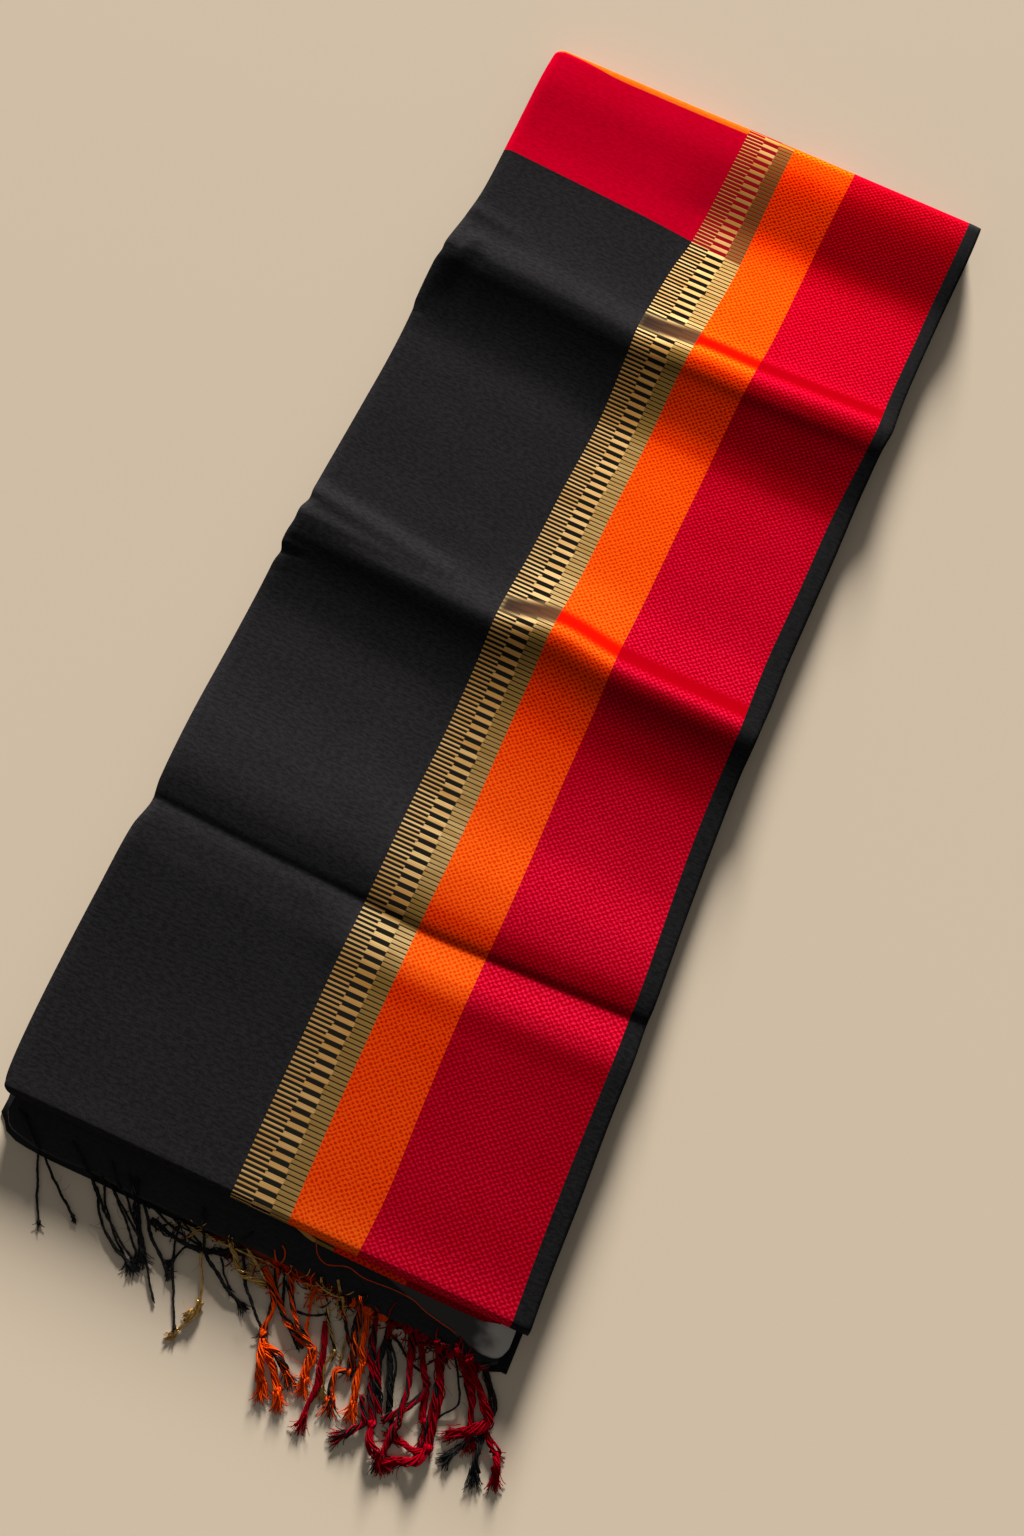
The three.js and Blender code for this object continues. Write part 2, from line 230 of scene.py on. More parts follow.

# %% [markdown]
# ### The diamond weave
# The border is woven with a small repeat: rows of tiny raised cells, offset like bricks, with a pit
# between every four. Two cosines multiplied give that lattice, and noise makes the floats uneven.
# The colour is also painted lighter where the cloth leans towards the lamp and darker where it leans
# away, a painted highlight and painted shade that follow the folds, and the pits are coloured darker
# than the cells as painted shade in the weave's hollows. Numbers on each point carry the painted light,
# and where a fold line was pressed smooth.

# %% Silk bands
def diamond(u, v, across, along, edge):
    """Raised cells of the small diamond weave, 0 in a pit and 1 on a cell, a little uneven."""
    drift = u.noise(v, 4.5, 6.0, 1.0) - 0.5
    slip = u.noise(v, 7.0, 4.0, 1.0, 5.0) - 0.5
    crosswise = ((u + drift * 2.2) * (math.tau / across)).cos()
    lattice = crosswise * ((v + slip * 2.2) * (math.tau / along)).cos()
    grain = u.noise(v, 1.1, 0.8, 2.0, 3.0)
    return (lattice * 0.8 + (grain - 0.5) * 2.2).above(edge, 1.2)


def silk_band(name, edge, tint, pit, cell, lit_cell, smooth):
    """A silk border band of one hue: a pit tone painted darker as shade in the weave's hollows, a cell tone,
    a lighter tone painted as a highlight where the cloth leans to the lamp, and its tone where it is
    pressed.
    """
    material, shader, u, v = finish(name, Specular_IOR_Level=0.0, Specular_Tint=tint)
    pressed = u.attribute("pressed")
    lustre = u.attribute("lustre")
    cells = diamond(u, v, 3.4, 3.0, edge)
    patches = u.noise(v, 40.0, 30.0, 2.0, 9.0)
    streak = u.noise(v, 60.0, 1.1, 2.0, 11.0)
    # Painted highlight and shade: the number from the slope, with random patches and streaks of tone, moves
    # the colour from the pit and cell tones up to the cell and lit tones.
    shine = lustre + (patches - 0.5) * 0.25 + (streak - 0.5) * 0.15
    colour = shine.mix(cells.mix(pit, cell), cells.mix(cell, lit_cell))
    feed(shader, Base_Color=pressed.mix(colour, smooth), Roughness=0.55 - cells * 0.06 + pressed * 0.25,
         Metallic=cells * 0.12 + 0.33 - pressed * 0.25)
    relief(shader, cells * (1.0 - pressed), 0.06)
    return material


# The darkest tones are painted shade in the weave's pits, and the brightest are a painted highlight.
crimson_cloth = silk_band("crimson_cloth", 0.25, tint=(1.0, 0.02, 0.08, 1), pit=(0.20, 0.0, 0.003, 1),
                          cell=(0.44, 0.0, 0.008, 1), lit_cell=(1.0, 0.012, 0.07, 1),
                          smooth=(0.46, 0.0, 0.006, 1))
orange_cloth = silk_band("orange_cloth", -0.20, tint=(1.0, 0.3, 0.1, 1), pit=(0.32, 0.003, 0.0, 1),
                         cell=(0.86, 0.030, 0.0, 1), lit_cell=(1.0, 0.16, 0.010, 1),
                         smooth=(0.80, 0.006, 0.001, 1))
print("silk bands:", crimson_cloth.name, orange_cloth.name)

# %% [markdown]
# ### The zari band
# Flat gilt thread floats over the ground in three columns: a comb of thin lines beside the body, a
# ladder of thick bars in the middle, and a nearly solid column beside the orange. It is a metal, so
# it is dull brown where it faces away from the lamp and almost white where a fold turns to it; that is
# also painted into its colour, with faint painted bands of glint along the cloth. The spacings of comb and
# bars, and the place of the turn in the weft, are in millimetres.

# %% Zari
COMB = 2.6
BAR = 5.2
TURN = 266.0
TURN_SLANT = 7.5 / 122.0
FOLD_STRIPE = 342.6


def past_turn(u, v):
    """1 beyond the woven line where the weft changes from black to crimson."""
    return (v - (u - FLAT_BODY) * TURN_SLANT).above(TURN, 0.7)


def fold_stripe(u, v):
    """1 on the narrow stripe along the far fold, which tapers out at the left corner."""
    return (v - u.above(258.0, 40.0) * 3.5).above(FOLD_STRIPE, 0.6)


def zari_cloth():
    material, shader, u, v = finish("zari_cloth", Specular_IOR_Level=0.0, Specular_Tint=(1.0, 0.75, 0.45, 1))
    row = (v / COMB).floor()
    jog = row.noise(row, 0.37, 0.91, 0.0, 2.0) - 0.5
    across = (u - ORANGE) / (ZARI - ORANGE) + jog * 0.09
    sway = (u.noise(v, 30.0, 5.0, 1.0, 4.0) - 0.5) * 0.5
    comb = ((v + sway) / COMB).fract()
    bar = ((v + sway) / BAR).fract()
    beyond = past_turn(u, v)
    thin = comb.above(0.14, 0.14) - comb.above(0.42, 0.14)
    teeth = comb.above(0.10, 0.14) - comb.above(0.50, 0.14)
    teeth = teeth + (thin - teeth) * beyond
    bars = bar.above(0.05, 0.06) - bar.above(0.53, 0.06)
    solid = 1.0 - (comb.above(0.04, 0.1) - comb.above(0.30, 0.12))
    right = 1.0 - across.above(0.31, 0.025)
    left = across.above(0.64, 0.025)
    gilt = teeth * left + solid * right + bars * (1.0 - left - right)
    threads = ((v * (math.tau / 0.87)).cos() * 0.5 + 0.5) * (u.noise(v, 6.0, 0.5, 1.0, 6.0) * 0.9 + 0.2)
    pressed = u.attribute("pressed")
    gilt = gilt + (0.72 - gilt) * pressed * 0.85
    lustre = u.attribute("lustre")
    ground = beyond.mix((0.012, 0.011, 0.009, 1), (0.34, 0.006, 0.012, 1))
    # Painted highlight and shade: the gold runs from dull brown to pale gold with the slope number, broken
    # by faint bands of painted glint along the cloth.
    ripple_light = (u.noise(v, 60.0, 5.0, 2.0, 8.0) - 0.5) * 1.6
    shine = lustre + lustre * ripple_light * 1.5 + ripple_light * 0.15
    gold = shine.mix((0.52, 0.25, 0.055, 1), (0.92, 0.66, 0.30, 1))
    gold = (threads * 0.8).mix(gold, (0.40, 0.18, 0.035, 1))
    # The solid column's own darker olive, shown less where the painted highlight lies.
    gold = (right * (0.85 - lustre * 0.6)).mix(gold, (0.20, 0.12, 0.025, 1))
    gold = (beyond * (right * 0.5 + 0.35)).mix(gold, (0.11, 0.045, 0.012, 1))
    # Painted shade: along the far fold stripe the zari is darkened to dull brown where it turns down away
    # from the lamp.
    gold = (fold_stripe(u, v) * 0.9).mix(gold, (0.22, 0.075, 0.015, 1))
    gold = pressed.mix(gold, across.mix((0.20, 0.080, 0.035, 1), (0.055, 0.033, 0.026, 1)))
    feed(shader, Base_Color=gilt.mix(ground, gold), Metallic=gilt * 0.55 - pressed * 0.30,
         Roughness=0.62 - gilt * 0.12 + pressed * 0.2)
    relief(shader, gilt * 0.75 - threads * gilt * 0.25, 0.06)
    return material


gold_cloth = zari_cloth()
print("zari:", gold_cloth.name)

# %% [markdown]
# ### Body and selvedge
# The body is plain cotton and silk: nearly flat black, with faint streaks where a weft thread is
# thicker. Near the far end the weft turns crimson, which makes the red block, and a narrow orange
# stripe lies along the far fold itself.

# %% Body and selvedge
def plain_cloth(name, block, **constants):
    material, shader, u, v = finish(name, **constants)
    slub = u.noise(v, 22.0, 0.9, 3.0, 1.0)
    tooth = u.noise(v, 0.7, 0.7, 2.0, 2.0)
    cloud = u.noise(v, 50.0, 40.0, 2.0, 7.0)
    fleck = u.noise(v, 3.5, 1.5, 3.0, 12.0)
    shade = slub.above(0.5, 0.5) * 0.15 + tooth.above(0.5, 0.3) * 0.3
    shade = shade + fleck.above(0.5, 0.3) * 0.35 + cloud * 0.2
    colour = shade.mix((0.0030, 0.0029, 0.0031, 1), (0.0170, 0.0162, 0.0168, 1))
    if block:
        red = shade.mix((0.42, 0.0, 0.008, 1), (0.72, 0.0, 0.026, 1))
        orange = shade.mix((0.75, 0.08, 0.003, 1), (1.0, 0.16, 0.01, 1))
        lustre = u.attribute("lustre")
        # Painted sheen: the black is painted lighter where the cloth leans towards the lamp, by the number
        # from the slope.
        colour = lustre.mix(colour, shade.mix((0.0120, 0.0113, 0.0124, 1), (0.0400, 0.0380, 0.0410, 1)))
        colour = past_turn(u, v).mix(colour, fold_stripe(u, v).mix(red, orange))
    feed(shader, Base_Color=colour, Roughness=0.50 + tooth * 0.14)
    relief(shader, slub * 0.35 + tooth * 0.65, 0.03)
    return material


body_cloth = plain_cloth("body_cloth", True, Specular_IOR_Level=0.0)
selvedge_cloth = plain_cloth("selvedge_cloth", False, Specular_IOR_Level=0.02)
print("plain cloths:", body_cloth.name, selvedge_cloth.name)

# %% [markdown]
# ## The lie of the top cloth
# The packet's two long edges wander by a few millimetres, and the woven lines wander with them. Each
# table below is read by one smooth curve. Columns are in packet millimetres.

# %% Smooth curves through tables
def along(rows, column, at, by=0):
    """A smooth curve through one column of a table, read at places of another column."""
    table = np.asarray(rows, float)
    x, y = table[:, by], table[:, column]
    at = np.clip(np.asarray(at, float), x[0], x[-1])
    before, after = np.maximum(np.arange(len(x)) - 1, 0), np.minimum(np.arange(len(x)) + 1, len(x) - 1)
    slope = (y[after] - y[before]) / (x[after] - x[before])
    k = np.clip(np.searchsorted(x, at, side="right") - 1, 0, len(x) - 2)
    span = x[k + 1] - x[k]
    t = (at - x[k]) / span
    return ((2 * t**3 - 3 * t**2 + 1) * y[k] + (t**3 - 2 * t**2 + t) * span * slope[k]
            + (3 * t**2 - 2 * t**3) * y[k + 1] + (t**3 - t**2) * span * slope[k + 1])


def ease(t):
    """A soft step from 0 to 1."""
    t = np.clip(t, 0, 1)
    return t * t * (3 - 2 * t)


print("a soft step at a quarter of its way:", float(ease(0.25)))

# %% Edges and woven lines
WIDTH = 287.5
FAR_EDGE, NEAR_EDGE = 351.0, -349.0
TOP_LEVEL = 15.5

# y, left edge and right edge (outside the straight packet is +)
EDGES = [
    (-349, -0.3, 1.4), (-340, 2.6, 0.8), (-317, 4.7, 0.0), (-280, 6.0, -0.5), (-240, 6.3, -1.8),
    (-203, 6.0, -2.2), (-187, 3.0, -2.9), (-174, 4.6, -3.0), (-133, 6.4, -4.5), (-87, 6.6, -5.8),
    (-41, 6.8, -7.0), (-36, 6.7, -7.0), (-29, 5.6, -6.9), (-24, 7.2, -6.9), (-18, 7.2, -6.8),
    (-10, 6.2, -6.6), (-2, 6.4, -6.3), (5, 4.3, -6.1), (12, 5.0, -6.2), (28, 4.9, -6.3), (74, 4.0, -5.0),
    (110, 3.6, -4.1), (143, 4.6, -3.9), (150, 5.7, -3.8), (175, 5.6, -3.4), (183, 4.2, -2.6),
    (190, 4.5, -1.8), (214, 1.6, -2.1), (236, 0.0, -1.7), (281, 0.7, 0.0), (327, 1.0, 1.4),
    (351, 0.2, 1.6),
]
# y, then the lines between body and zari, zari and orange, orange and crimson, crimson and selvedge
WOVEN_LINES = [
    (-349, -17.5, 14.0, 51.8, 134.9), (-317, -18.7, 12.7, 53.0, 133.5), (-271, -19.4, 11.7, 51.2, 132.2),
    (-225, -20.2, 11.2, 50.0, 131.7), (-179, -20.3, 10.9, 50.2, 131.0), (-133, -21.1, 11.1, 50.2, 129.0),
    (-87, -20.9, 9.8, 49.2, 127.0), (-41, -22.0, 9.0, 48.8, 126.4), (-10, -23.2, 8.2, 47.8, 126.0),
    (28, -21.2, 10.6, 49.2, 125.8), (74, -20.2, 11.3, 50.1, 127.6), (120, -18.4, 12.4, 51.2, 128.8),
    (166, -20.0, 12.6, 52.0, 131.5), (189, -21.3, 13.6, 53.2, 132.6), (212, -19.8, 15.5, 55.2, 132.8),
    (235, -18.0, 17.5, 56.2, 133.6), (258, -14.5, 18.5, 56.7, 134.6), (304, -12.2, 18.6, 58.0, 135.9),
    (351, -11.0, 19.2, 60.0, 137.2),
]


def left_edge(y):
    return -WIDTH / 2 - along(EDGES, 1, y)


def right_edge(y):
    return WIDTH / 2 + along(EDGES, 2, y)


print("edges at the near end:", left_edge(NEAR_EDGE), right_edge(NEAR_EDGE))

# %% [markdown]
# ### Creases
# Three old fold lines cross the packet. The near one is a sharp valley; the other two are ridges with
# a hollow on their near side. Each has a line across the packet and a cross profile, one over the
# limp body and one over the stiffer border, and the lines wander as hand-pressed folds do. Where the
# ridges run out at the left edge the cloth puckers: short soft ridges and troughs are added there.

# %% Creases
# Each crease: where it lies on a straight packet, and its true line as x, y
CREASE_LINES = [
    (-187, [(-146, -183.5), (-88, -186), (-25, -188), (17, -190), (58, -189), (140, -186)]),
    (-5, [(-152, 2), (-87, -4), (-25, -7), (10, 0), (49, -5), (126, -7), (145, -8)]),
    (195, [(-136, 198.5), (-75, 196), (-21, 191.6), (17, 195), (53, 195), (133, 197.5), (146, 198)]),
]
# y on a straight packet, then the rise over the body and over the border
HEIGHTS = [
    (-349, 0.4, 0.4), (-335, 0.2, 0.2), (-320, 0.1, 0.1), (-270, 0.0, 0.0), (-228, 0.5, 0.5),
    (-214, 0.7, 0.95), (-206, 0.62, 0.6), (-201, 0.55, 0.1), (-197, 0.45, -0.35), (-194, 0.32, -0.7),
    (-190, 0.05, -1.1), (-188.3, -0.05, -1.25), (-187, -0.05, -1.25), (-185.7, 0.3, -0.85),
    (-183, 0.75, -0.15), (-179, 1.0, 0.3), (-174, 1.2, 0.5), (-170, 1.25, 0.5), (-165, 1.2, 0.35),
    (-158, 1.0, 0.0), (-150, 0.6, -0.5), (-140, 0.1, -1.3), (-130, -0.5, -2.1), (-120, -1.1, -2.75),
    (-105, -1.9, -3.35), (-90, -2.5, -3.75), (-72, -3.0, -3.9), (-58, -2.9, -3.6), (-46, -2.0, -2.55),
    (-40, -1.3, -1.8), (-34, -0.3, -0.7), (-29, 0.8, 0.5), (-25, 1.9, 1.65), (-21, 2.9, 2.6),
    (-17, 3.55, 3.05), (-13, 3.5, 2.95), (-9, 3.2, 2.5), (-4, 2.7, 1.95), (3, 2.0, 1.3), (12, 1.4, 0.55),
    (25, 0.9, -0.45), (38, 0.4, -1.15), (55, -0.1, -1.85), (75, -0.7, -2.6), (90, -1.2, -3.1),
    (110, -1.8, -3.75), (120, -2.15, -3.95), (128, -2.3, -3.9),
    (138, -2.1, -3.3), (148, -1.3, -1.95), (158, 0.1, -0.25), (168, 2.2, 1.6), (175, 3.95, 3.3),
    (180, 4.62, 3.86), (184, 4.75, 3.92), (188, 4.5, 3.7), (192, 4.1, 3.2), (196, 3.65, 2.65),
    (202, 3.0, 1.95), (212, 2.25, 1.2), (225, 1.5, 0.4), (240, 0.85, -0.5), (256, 0.3, -1.4),
    (268, 0.1, -1.9), (278, 0.1, -1.95), (285, 0.3, -1.55), (293, 0.65, -0.65), (302, 1.1, 0.4),
    (314, 1.8, 1.7), (322, 2.1, 2.35), (330, 2.1, 2.6), (338, 1.9, 2.5), (345, 1.6, 2.2),
    (351, 1.3, 1.8),
]
# Short puckers where the ridges reach the left edge: from x, y to x, y, half width and rise
PUCKERS = [
    (-146, 10, -60, -2, 9.0, 0.65), (-148, -12, -75, -13, 8.0, -0.55), (-150, -30, -138, -29, 3.5, -0.7),
    (-150, -24, -136, -25, 3.5, 0.35), (-149, -42, -140, -41, 3.5, -0.35), (-150, 4, -143, 5, 3.0, -0.45),
    (-132, 197, -147, 146, 6.0, 1.0), (-125, 184, -130, 156, 7.0, -0.5), (-149, 184, -143, 184, 3.0, -0.45),
    (-146, 218, -110, 212, 7.0, 0.3), (-150, 143, -142, 141, 4.0, -0.4),
]


def puckers(x, y):
    """Small soft ridges and troughs, each along a short line."""
    total = 0 * x
    for x0, y0, x1, y1, half, height in PUCKERS:
        way = np.clip(((x - x0) * (x1 - x0) + (y - y0) * (y1 - y0)) / ((x1 - x0)**2 + (y1 - y0)**2), 0, 1)
        gap = np.hypot(x - x0 - way * (x1 - x0), y - y0 - way * (y1 - y0))
        total = total + height * (1 - way * 0.6) * ease(1 - gap / half)
    return total


print("creases and puckers:", len(CREASE_LINES), len(PUCKERS))

# %% Height of the top cloth
def border_share(x):
    """0 over the body, 1 over the border, turning under the zari."""
    return ease((x + 52) / 52)


def straightened(x, y):
    """Where a point would lie along the packet if the creases were straight."""
    marks = [NEAR_EDGE] + [place for place, _ in CREASE_LINES] + [FAR_EDGE]
    shift = 0 * x
    for k, (place, line) in enumerate(CREASE_LINES):
        share = np.interp(y, marks, [float(m == k + 1) for m in range(len(marks))])
        shift = shift + share * (along(line, 1, x) - place)
    return y - shift


def rise(x, y):
    """How far the top cloth stands over its plain level."""
    share = border_share(x)
    place = straightened(x, y)
    folds = along(HEIGHTS, 1, place) * (1 - share) + along(HEIGHTS, 2, place) * share
    return folds + puckers(x, y)


def top_level(x, y):
    hem = np.clip(1 - (right_edge(y) - x) / 9, 0, 1)
    return TOP_LEVEL + rise(x, y) - 0.5 * hem**2


print("highest ridge in mm:", round(float(top_level(np.full(700, 20.0), np.arange(-349.0, 351)).max()), 2))

# %% [markdown]
# ### Sheets from grids
# A stretch of cloth is a grid of points whose places are known, so the grid operator makes the faces
# and the points are moved. Every point knows how far across and along the cloth it lies, which goes
# into the UV map that the weave reads, and tells each face its band. Solidify adds the ply's thickness.

# %% Grid sheets
PLY = 0.5


def select_only(*pieces):
    """Selects these pieces, the first of them active."""
    bpy.ops.object.select_all(action="DESELECT")
    for piece in pieces:
        piece.select_set(True)
    bpy.context.view_layer.objects.active = pieces[0]


def grid_piece(name, points, uv, finishes, thickness=PLY):
    """A sheet from a rows x columns array of points in packet millimetres, with its cloth coordinates."""
    rows, columns = points.shape[:2]
    bpy.ops.mesh.primitive_grid_add(x_subdivisions=columns - 1, y_subdivisions=rows - 1, size=1)
    piece = bpy.context.object
    piece.name = name
    mesh = piece.data
    mesh.name = name
    mesh.vertices.foreach_set("co", in_frame(points).ravel())
    corner = np.zeros(len(mesh.loops), int)
    mesh.loops.foreach_get("vertex_index", corner)
    layer = mesh.uv_layers[0]
    layer.name = "cloth"
    layer.data.foreach_set("uv", (uv.reshape(-1, 2)[corner] * MM).ravel())
    for item in finishes:
        mesh.materials.append(item)
    if len(finishes) > 1:
        middle = (uv[1:, 1:, 0] + uv[1:, :-1, 0]) / 2
        mesh.polygons.foreach_set("material_index", np.digitize(middle, BAND_ENDS).ravel())
    mesh.update()
    select_only(piece)
    bpy.ops.object.shade_smooth()
    shell = piece.modifiers.new("thickness", "SOLIDIFY")
    shell.thickness = thickness * MM
    shell.offset = -1
    bpy.ops.object.modifier_apply(modifier=shell.name)
    return piece


print("one ply in mm:", PLY)

# %% [markdown]
# ### The top sheet
# One grid is the whole visible ply. Its columns follow the woven lines, so a colour never strays over
# its border, and its rows are closer together at the creases. Beyond the flat part the cloth rolls
# over the left side, the near end and the far end.

# %% Rolled sides
# How far each roll reaches out, how deep it is, and how high its lip ends over the table
LEFT_ROLL = {"reach": 7.0, "round": 4.2, "end": 10.6}
NEAR_ROLL = {"reach": 4.5, "round": 5.5, "end": 8.4}
FAR_ROLL = {"reach": 8.0, "round": 7.2, "end": 8.0}
# Share of a roll that bends, before the rest of it hangs straight
BENT = 0.85
# Cloth that goes over the left roll and over an end roll
SIDE_CLOTH, END_CLOTH = 11, 12


def rolled(x, y, a, b, end, side):
    """A point of the top sheet: a and b run 0 to 1 over the side roll and the end roll."""
    way = np.maximum(a, b)
    safe = np.where(way > 0, way, 1)
    turn = np.where(a >= b, math.pi / 4 * b / safe, math.pi / 2 - math.pi / 4 * a / safe)
    turn = np.where(way > 0, turn, 0)
    to_end = np.sin(turn) ** 2
    size = {k: LEFT_ROLL[k] * (1 - to_end) + end[k] * to_end for k in end}
    arc = np.minimum(way / BENT, 1) * math.pi / 2
    rest = np.maximum(0, (way - BENT) / (1 - BENT))
    top = top_level(x, y)
    lip = np.maximum(0.3, top - size["round"] - size["end"])
    z = top - size["round"] * (1 - np.cos(arc)) - rest * lip
    px = x - LEFT_ROLL["reach"] * np.sin(arc) * np.cos(turn)
    py = y + side * end["reach"] * np.sin(arc) * np.sin(turn)
    return np.stack(np.broadcast_arrays(px, py, z), -1)


print("depth of the rolls in mm:", [roll["round"] for roll in (LEFT_ROLL, NEAR_ROLL, FAR_ROLL)])

# %% Top sheet
def spaced(stops):
    """Places from a list of (end, steps): equal steps up to each end."""
    places = [np.array([stops[0][0]], float)]
    for (start, _), (stop, steps) in zip(stops, stops[1:]):
        places.append(np.linspace(start, stop, steps + 1)[1:])
    return np.concatenate(places)


ROLL_STEPS = np.array([0.1, 0.22, 0.34, 0.46, 0.58, 0.7, 0.8, 0.88, 1.0])
flat_y = spaced([(NEAR_EDGE + NEAR_ROLL["reach"], 0), (-212, 50), (-172, 36), (-40, 48), (14, 46), (140, 46),
                 (212, 58), (330, 46), (FAR_EDGE - FAR_ROLL["reach"], 8)])
ends = [np.full(len(ROLL_STEPS), place) for place in flat_y[[0, -1]]]
row_y = np.concatenate([ends[0], flat_y, ends[1]])
row_b = np.concatenate([ROLL_STEPS[::-1], np.zeros(len(flat_y)), ROLL_STEPS])
row_side = np.where(np.arange(len(row_y)) < len(row_y) / 2, -1, 1)
column_u = spaced([(0, 0), (SELVEDGE, 5), (CRIMSON, 27), (ORANGE, 15), (ZARI, 13), (FLAT_BODY, 30)])
column_a = np.concatenate([np.zeros(len(column_u)), ROLL_STEPS])
column_u = np.concatenate([column_u, FLAT_BODY + ROLL_STEPS * SIDE_CLOTH])


def across(u, y, inset, ends):
    """Packet x of places u across the cloth; ends are its last marks, each with its gap to the left edge."""
    stops = [right_edge(y) - inset, *[along(WOVEN_LINES, k, y) for k in (4, 3, 2, 1)],
             *[left_edge(y) + gap for gap in ends.values()]]
    return np.stack([np.interp(u, [0, *BAND_ENDS, *ends], stop) for stop in np.stack(stops, -1)])


x = across(np.minimum(column_u, FLAT_BODY), row_y, 0, {FLAT_BODY: LEFT_ROLL["reach"]})
y = np.repeat(row_y[:, None], len(column_u), 1)
a = np.repeat(column_a[None], len(row_y), 0)
b = np.repeat(row_b[:, None], len(column_u), 1)
near = (row_side < 0)[:, None, None]
points = np.where(near, rolled(x, y, a, b, NEAR_ROLL, -1), rolled(x, y, a, b, FAR_ROLL, 1))
row_v = row_y + row_side * row_b * END_CLOTH
uv = np.stack(np.broadcast_arrays(column_u[None], row_v[:, None]), -1)
FINISHES = [selvedge_cloth, crimson_cloth, orange_cloth, gold_cloth, body_cloth]
top = grid_piece("top_cloth", points[:, ::-1], uv[:, ::-1], FINISHES)
print("top sheet faces:", len(top.data.polygons))

# %% [markdown]
# ### Pressed lines and painted light
# Where a fold line was pressed with an iron or a palm, the silk is flat and smooth and the small weave
# is lost. Numbers on each point of the sheet say how pressed it is, and how much painted light its colour
# takes. The second comes from the slope of the cloth: lighter where it leans towards the lamp and darker
# where it leans away, so the painted highlight and shade stay with the folds.

# %% Pressed places
# Centre of each pressed line on a straight packet, and its half width over silk and over zari
PRESSED = [(-4.4, 4.6, 5.0), (196, 4.2, 5.5)]


def mark_points(piece, name, values):
    made = piece.data.attributes.new(name, "FLOAT", "POINT")
    made.data.foreach_set("value", values.astype(np.float32))


def mark_handling(piece):
    flat = np.zeros(len(piece.data.vertices) * 3)
    piece.data.vertices.foreach_get("co", flat)
    x, y, _ = (flat.reshape(-1, 3) / MM - PACKET_MIDDLE).T
    place = straightened(x, y)
    amount = 0 * x
    for middle, silk, zari in PRESSED:
        half = silk + (zari - silk) * (x < (along(WOVEN_LINES, 2, y) + 0.5))
        amount = amount + ease((half + 2.5 - abs(place - middle)) / 5)
    mark_points(piece, "pressed", np.clip(amount, 0, 1) * ease((x + 26) / 6))
    ahead, behind = [np.clip(y + step, NEAR_EDGE, FAR_EDGE) for step in (1.5, -1.5)]
    climb = (rise(x, ahead) - rise(x, behind)) / (ahead - behind)
    # Painted highlight and shade: lighter where the cloth falls towards the far lamp, darker where it climbs
    # away from it, plus a painted highlight along the border's near edge.
    shine = 0.3 - climb * 6 + 0.3 * ease((-322 - y) / 22) * ease((x - 10) / 10)
    mark_points(piece, "lustre", np.clip(shine, 0.12, 1))


mark_handling(top)
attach(top, "root")
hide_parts("top_stretch")
print("numbers on each point:", [item.name for item in top.data.attributes if item.domain == "POINT"])

# %% [markdown]
# ### The pallu underneath
# The first stretch of the folding is the sari's ornamented end, the pallu. It lies on the table, its
# far end turns up into the lower half of the far fold, and its near end carries the fringe. It is the
# same ply as the top sheet, seen from below, so the border keeps its side. The ground is crimson, with
# bars of zari across it and a black heading before the fringe.

# %% Pallu finish
PALLU_END = 1075.0
# Distances back from the fringe to the start and end of each cross bar
CROSS_BARS = [(52, 58), (66, 102), (110, 116), (250, 253), (262, 270), (279, 282), (470, 473)]


def pallu_finish():
    material, shader, u, v = finish("pallu_weave", Specular_IOR_Level=0.2)
    slub = u.noise(v, 22.0, 0.9, 3.0, 1.0)
    tooth = u.noise(v, 0.7, 0.7, 2.0, 2.0)
    shade = slub * 0.5 + tooth * 0.4
    bars = v * 0.0
    for start, end in CROSS_BARS:
        bars = bars + (v.above(PALLU_END - end, 0.5) - v.above(PALLU_END - start, 0.5))
    ladder = (u / 6.0).fract().above(0.5, 0.08)
    bars = bars * (0.55 + 0.45 * ladder)
    red = shade.mix((0.30, 0.0, 0.006, 1), (0.56, 0.0, 0.018, 1))
    ground = v.above(PALLU_END - 40.0, 0.6).mix(red, (0.008, 0.008, 0.009, 1))
    feed(shader, Base_Color=bars.mix(ground, (0.78, 0.46, 0.15, 1)), Metallic=bars * 0.9,
         Roughness=0.6 - bars * 0.2)
    relief(shader, slub * 0.3 + tooth * 0.7 + bars, 0.03)
    return material


pallu_cloth = pallu_finish()
print("cross bars:", len(CROSS_BARS))

# %% [markdown]
# The pallu's flat rows run from its hem to the far fold, and the last rows turn up into that fold. Only
# the hem and the two long edges show, so its columns are wider apart than those of the top sheet.

# %% Pallu sheet
# x, then the near edge of the black stretch in the middle and of the pallu
NEAR_EDGES = [
    (-142, -353.0, -360.0), (-133, -365.0, -369.0), (-80, -368.6, -371.0), (2, -368.4, -371.5),
    (90, -369.8, -372.8), (132, -371.6, -374.0), (141, -366.0, -371.0),
]
LEFT_U = 291
UNDER_U = spaced([(0, 0), (SELVEDGE, 3), (CRIMSON, 12), (ORANGE, 7), (ZARI, 6), (FLAT_BODY, 18),
                  (LEFT_U, 2)])
# The pallu's half of the far fold ends just under the lip of the top sheet's half
FOLD_HEIGHT = 7.7


def under_x(y):
    """Packet x over the underside, from the selvedge to the left edge."""
    return across(UNDER_U, np.maximum(y, NEAR_EDGE), 1.2, {FLAT_BODY: 7.6, LEFT_U: 0.6})


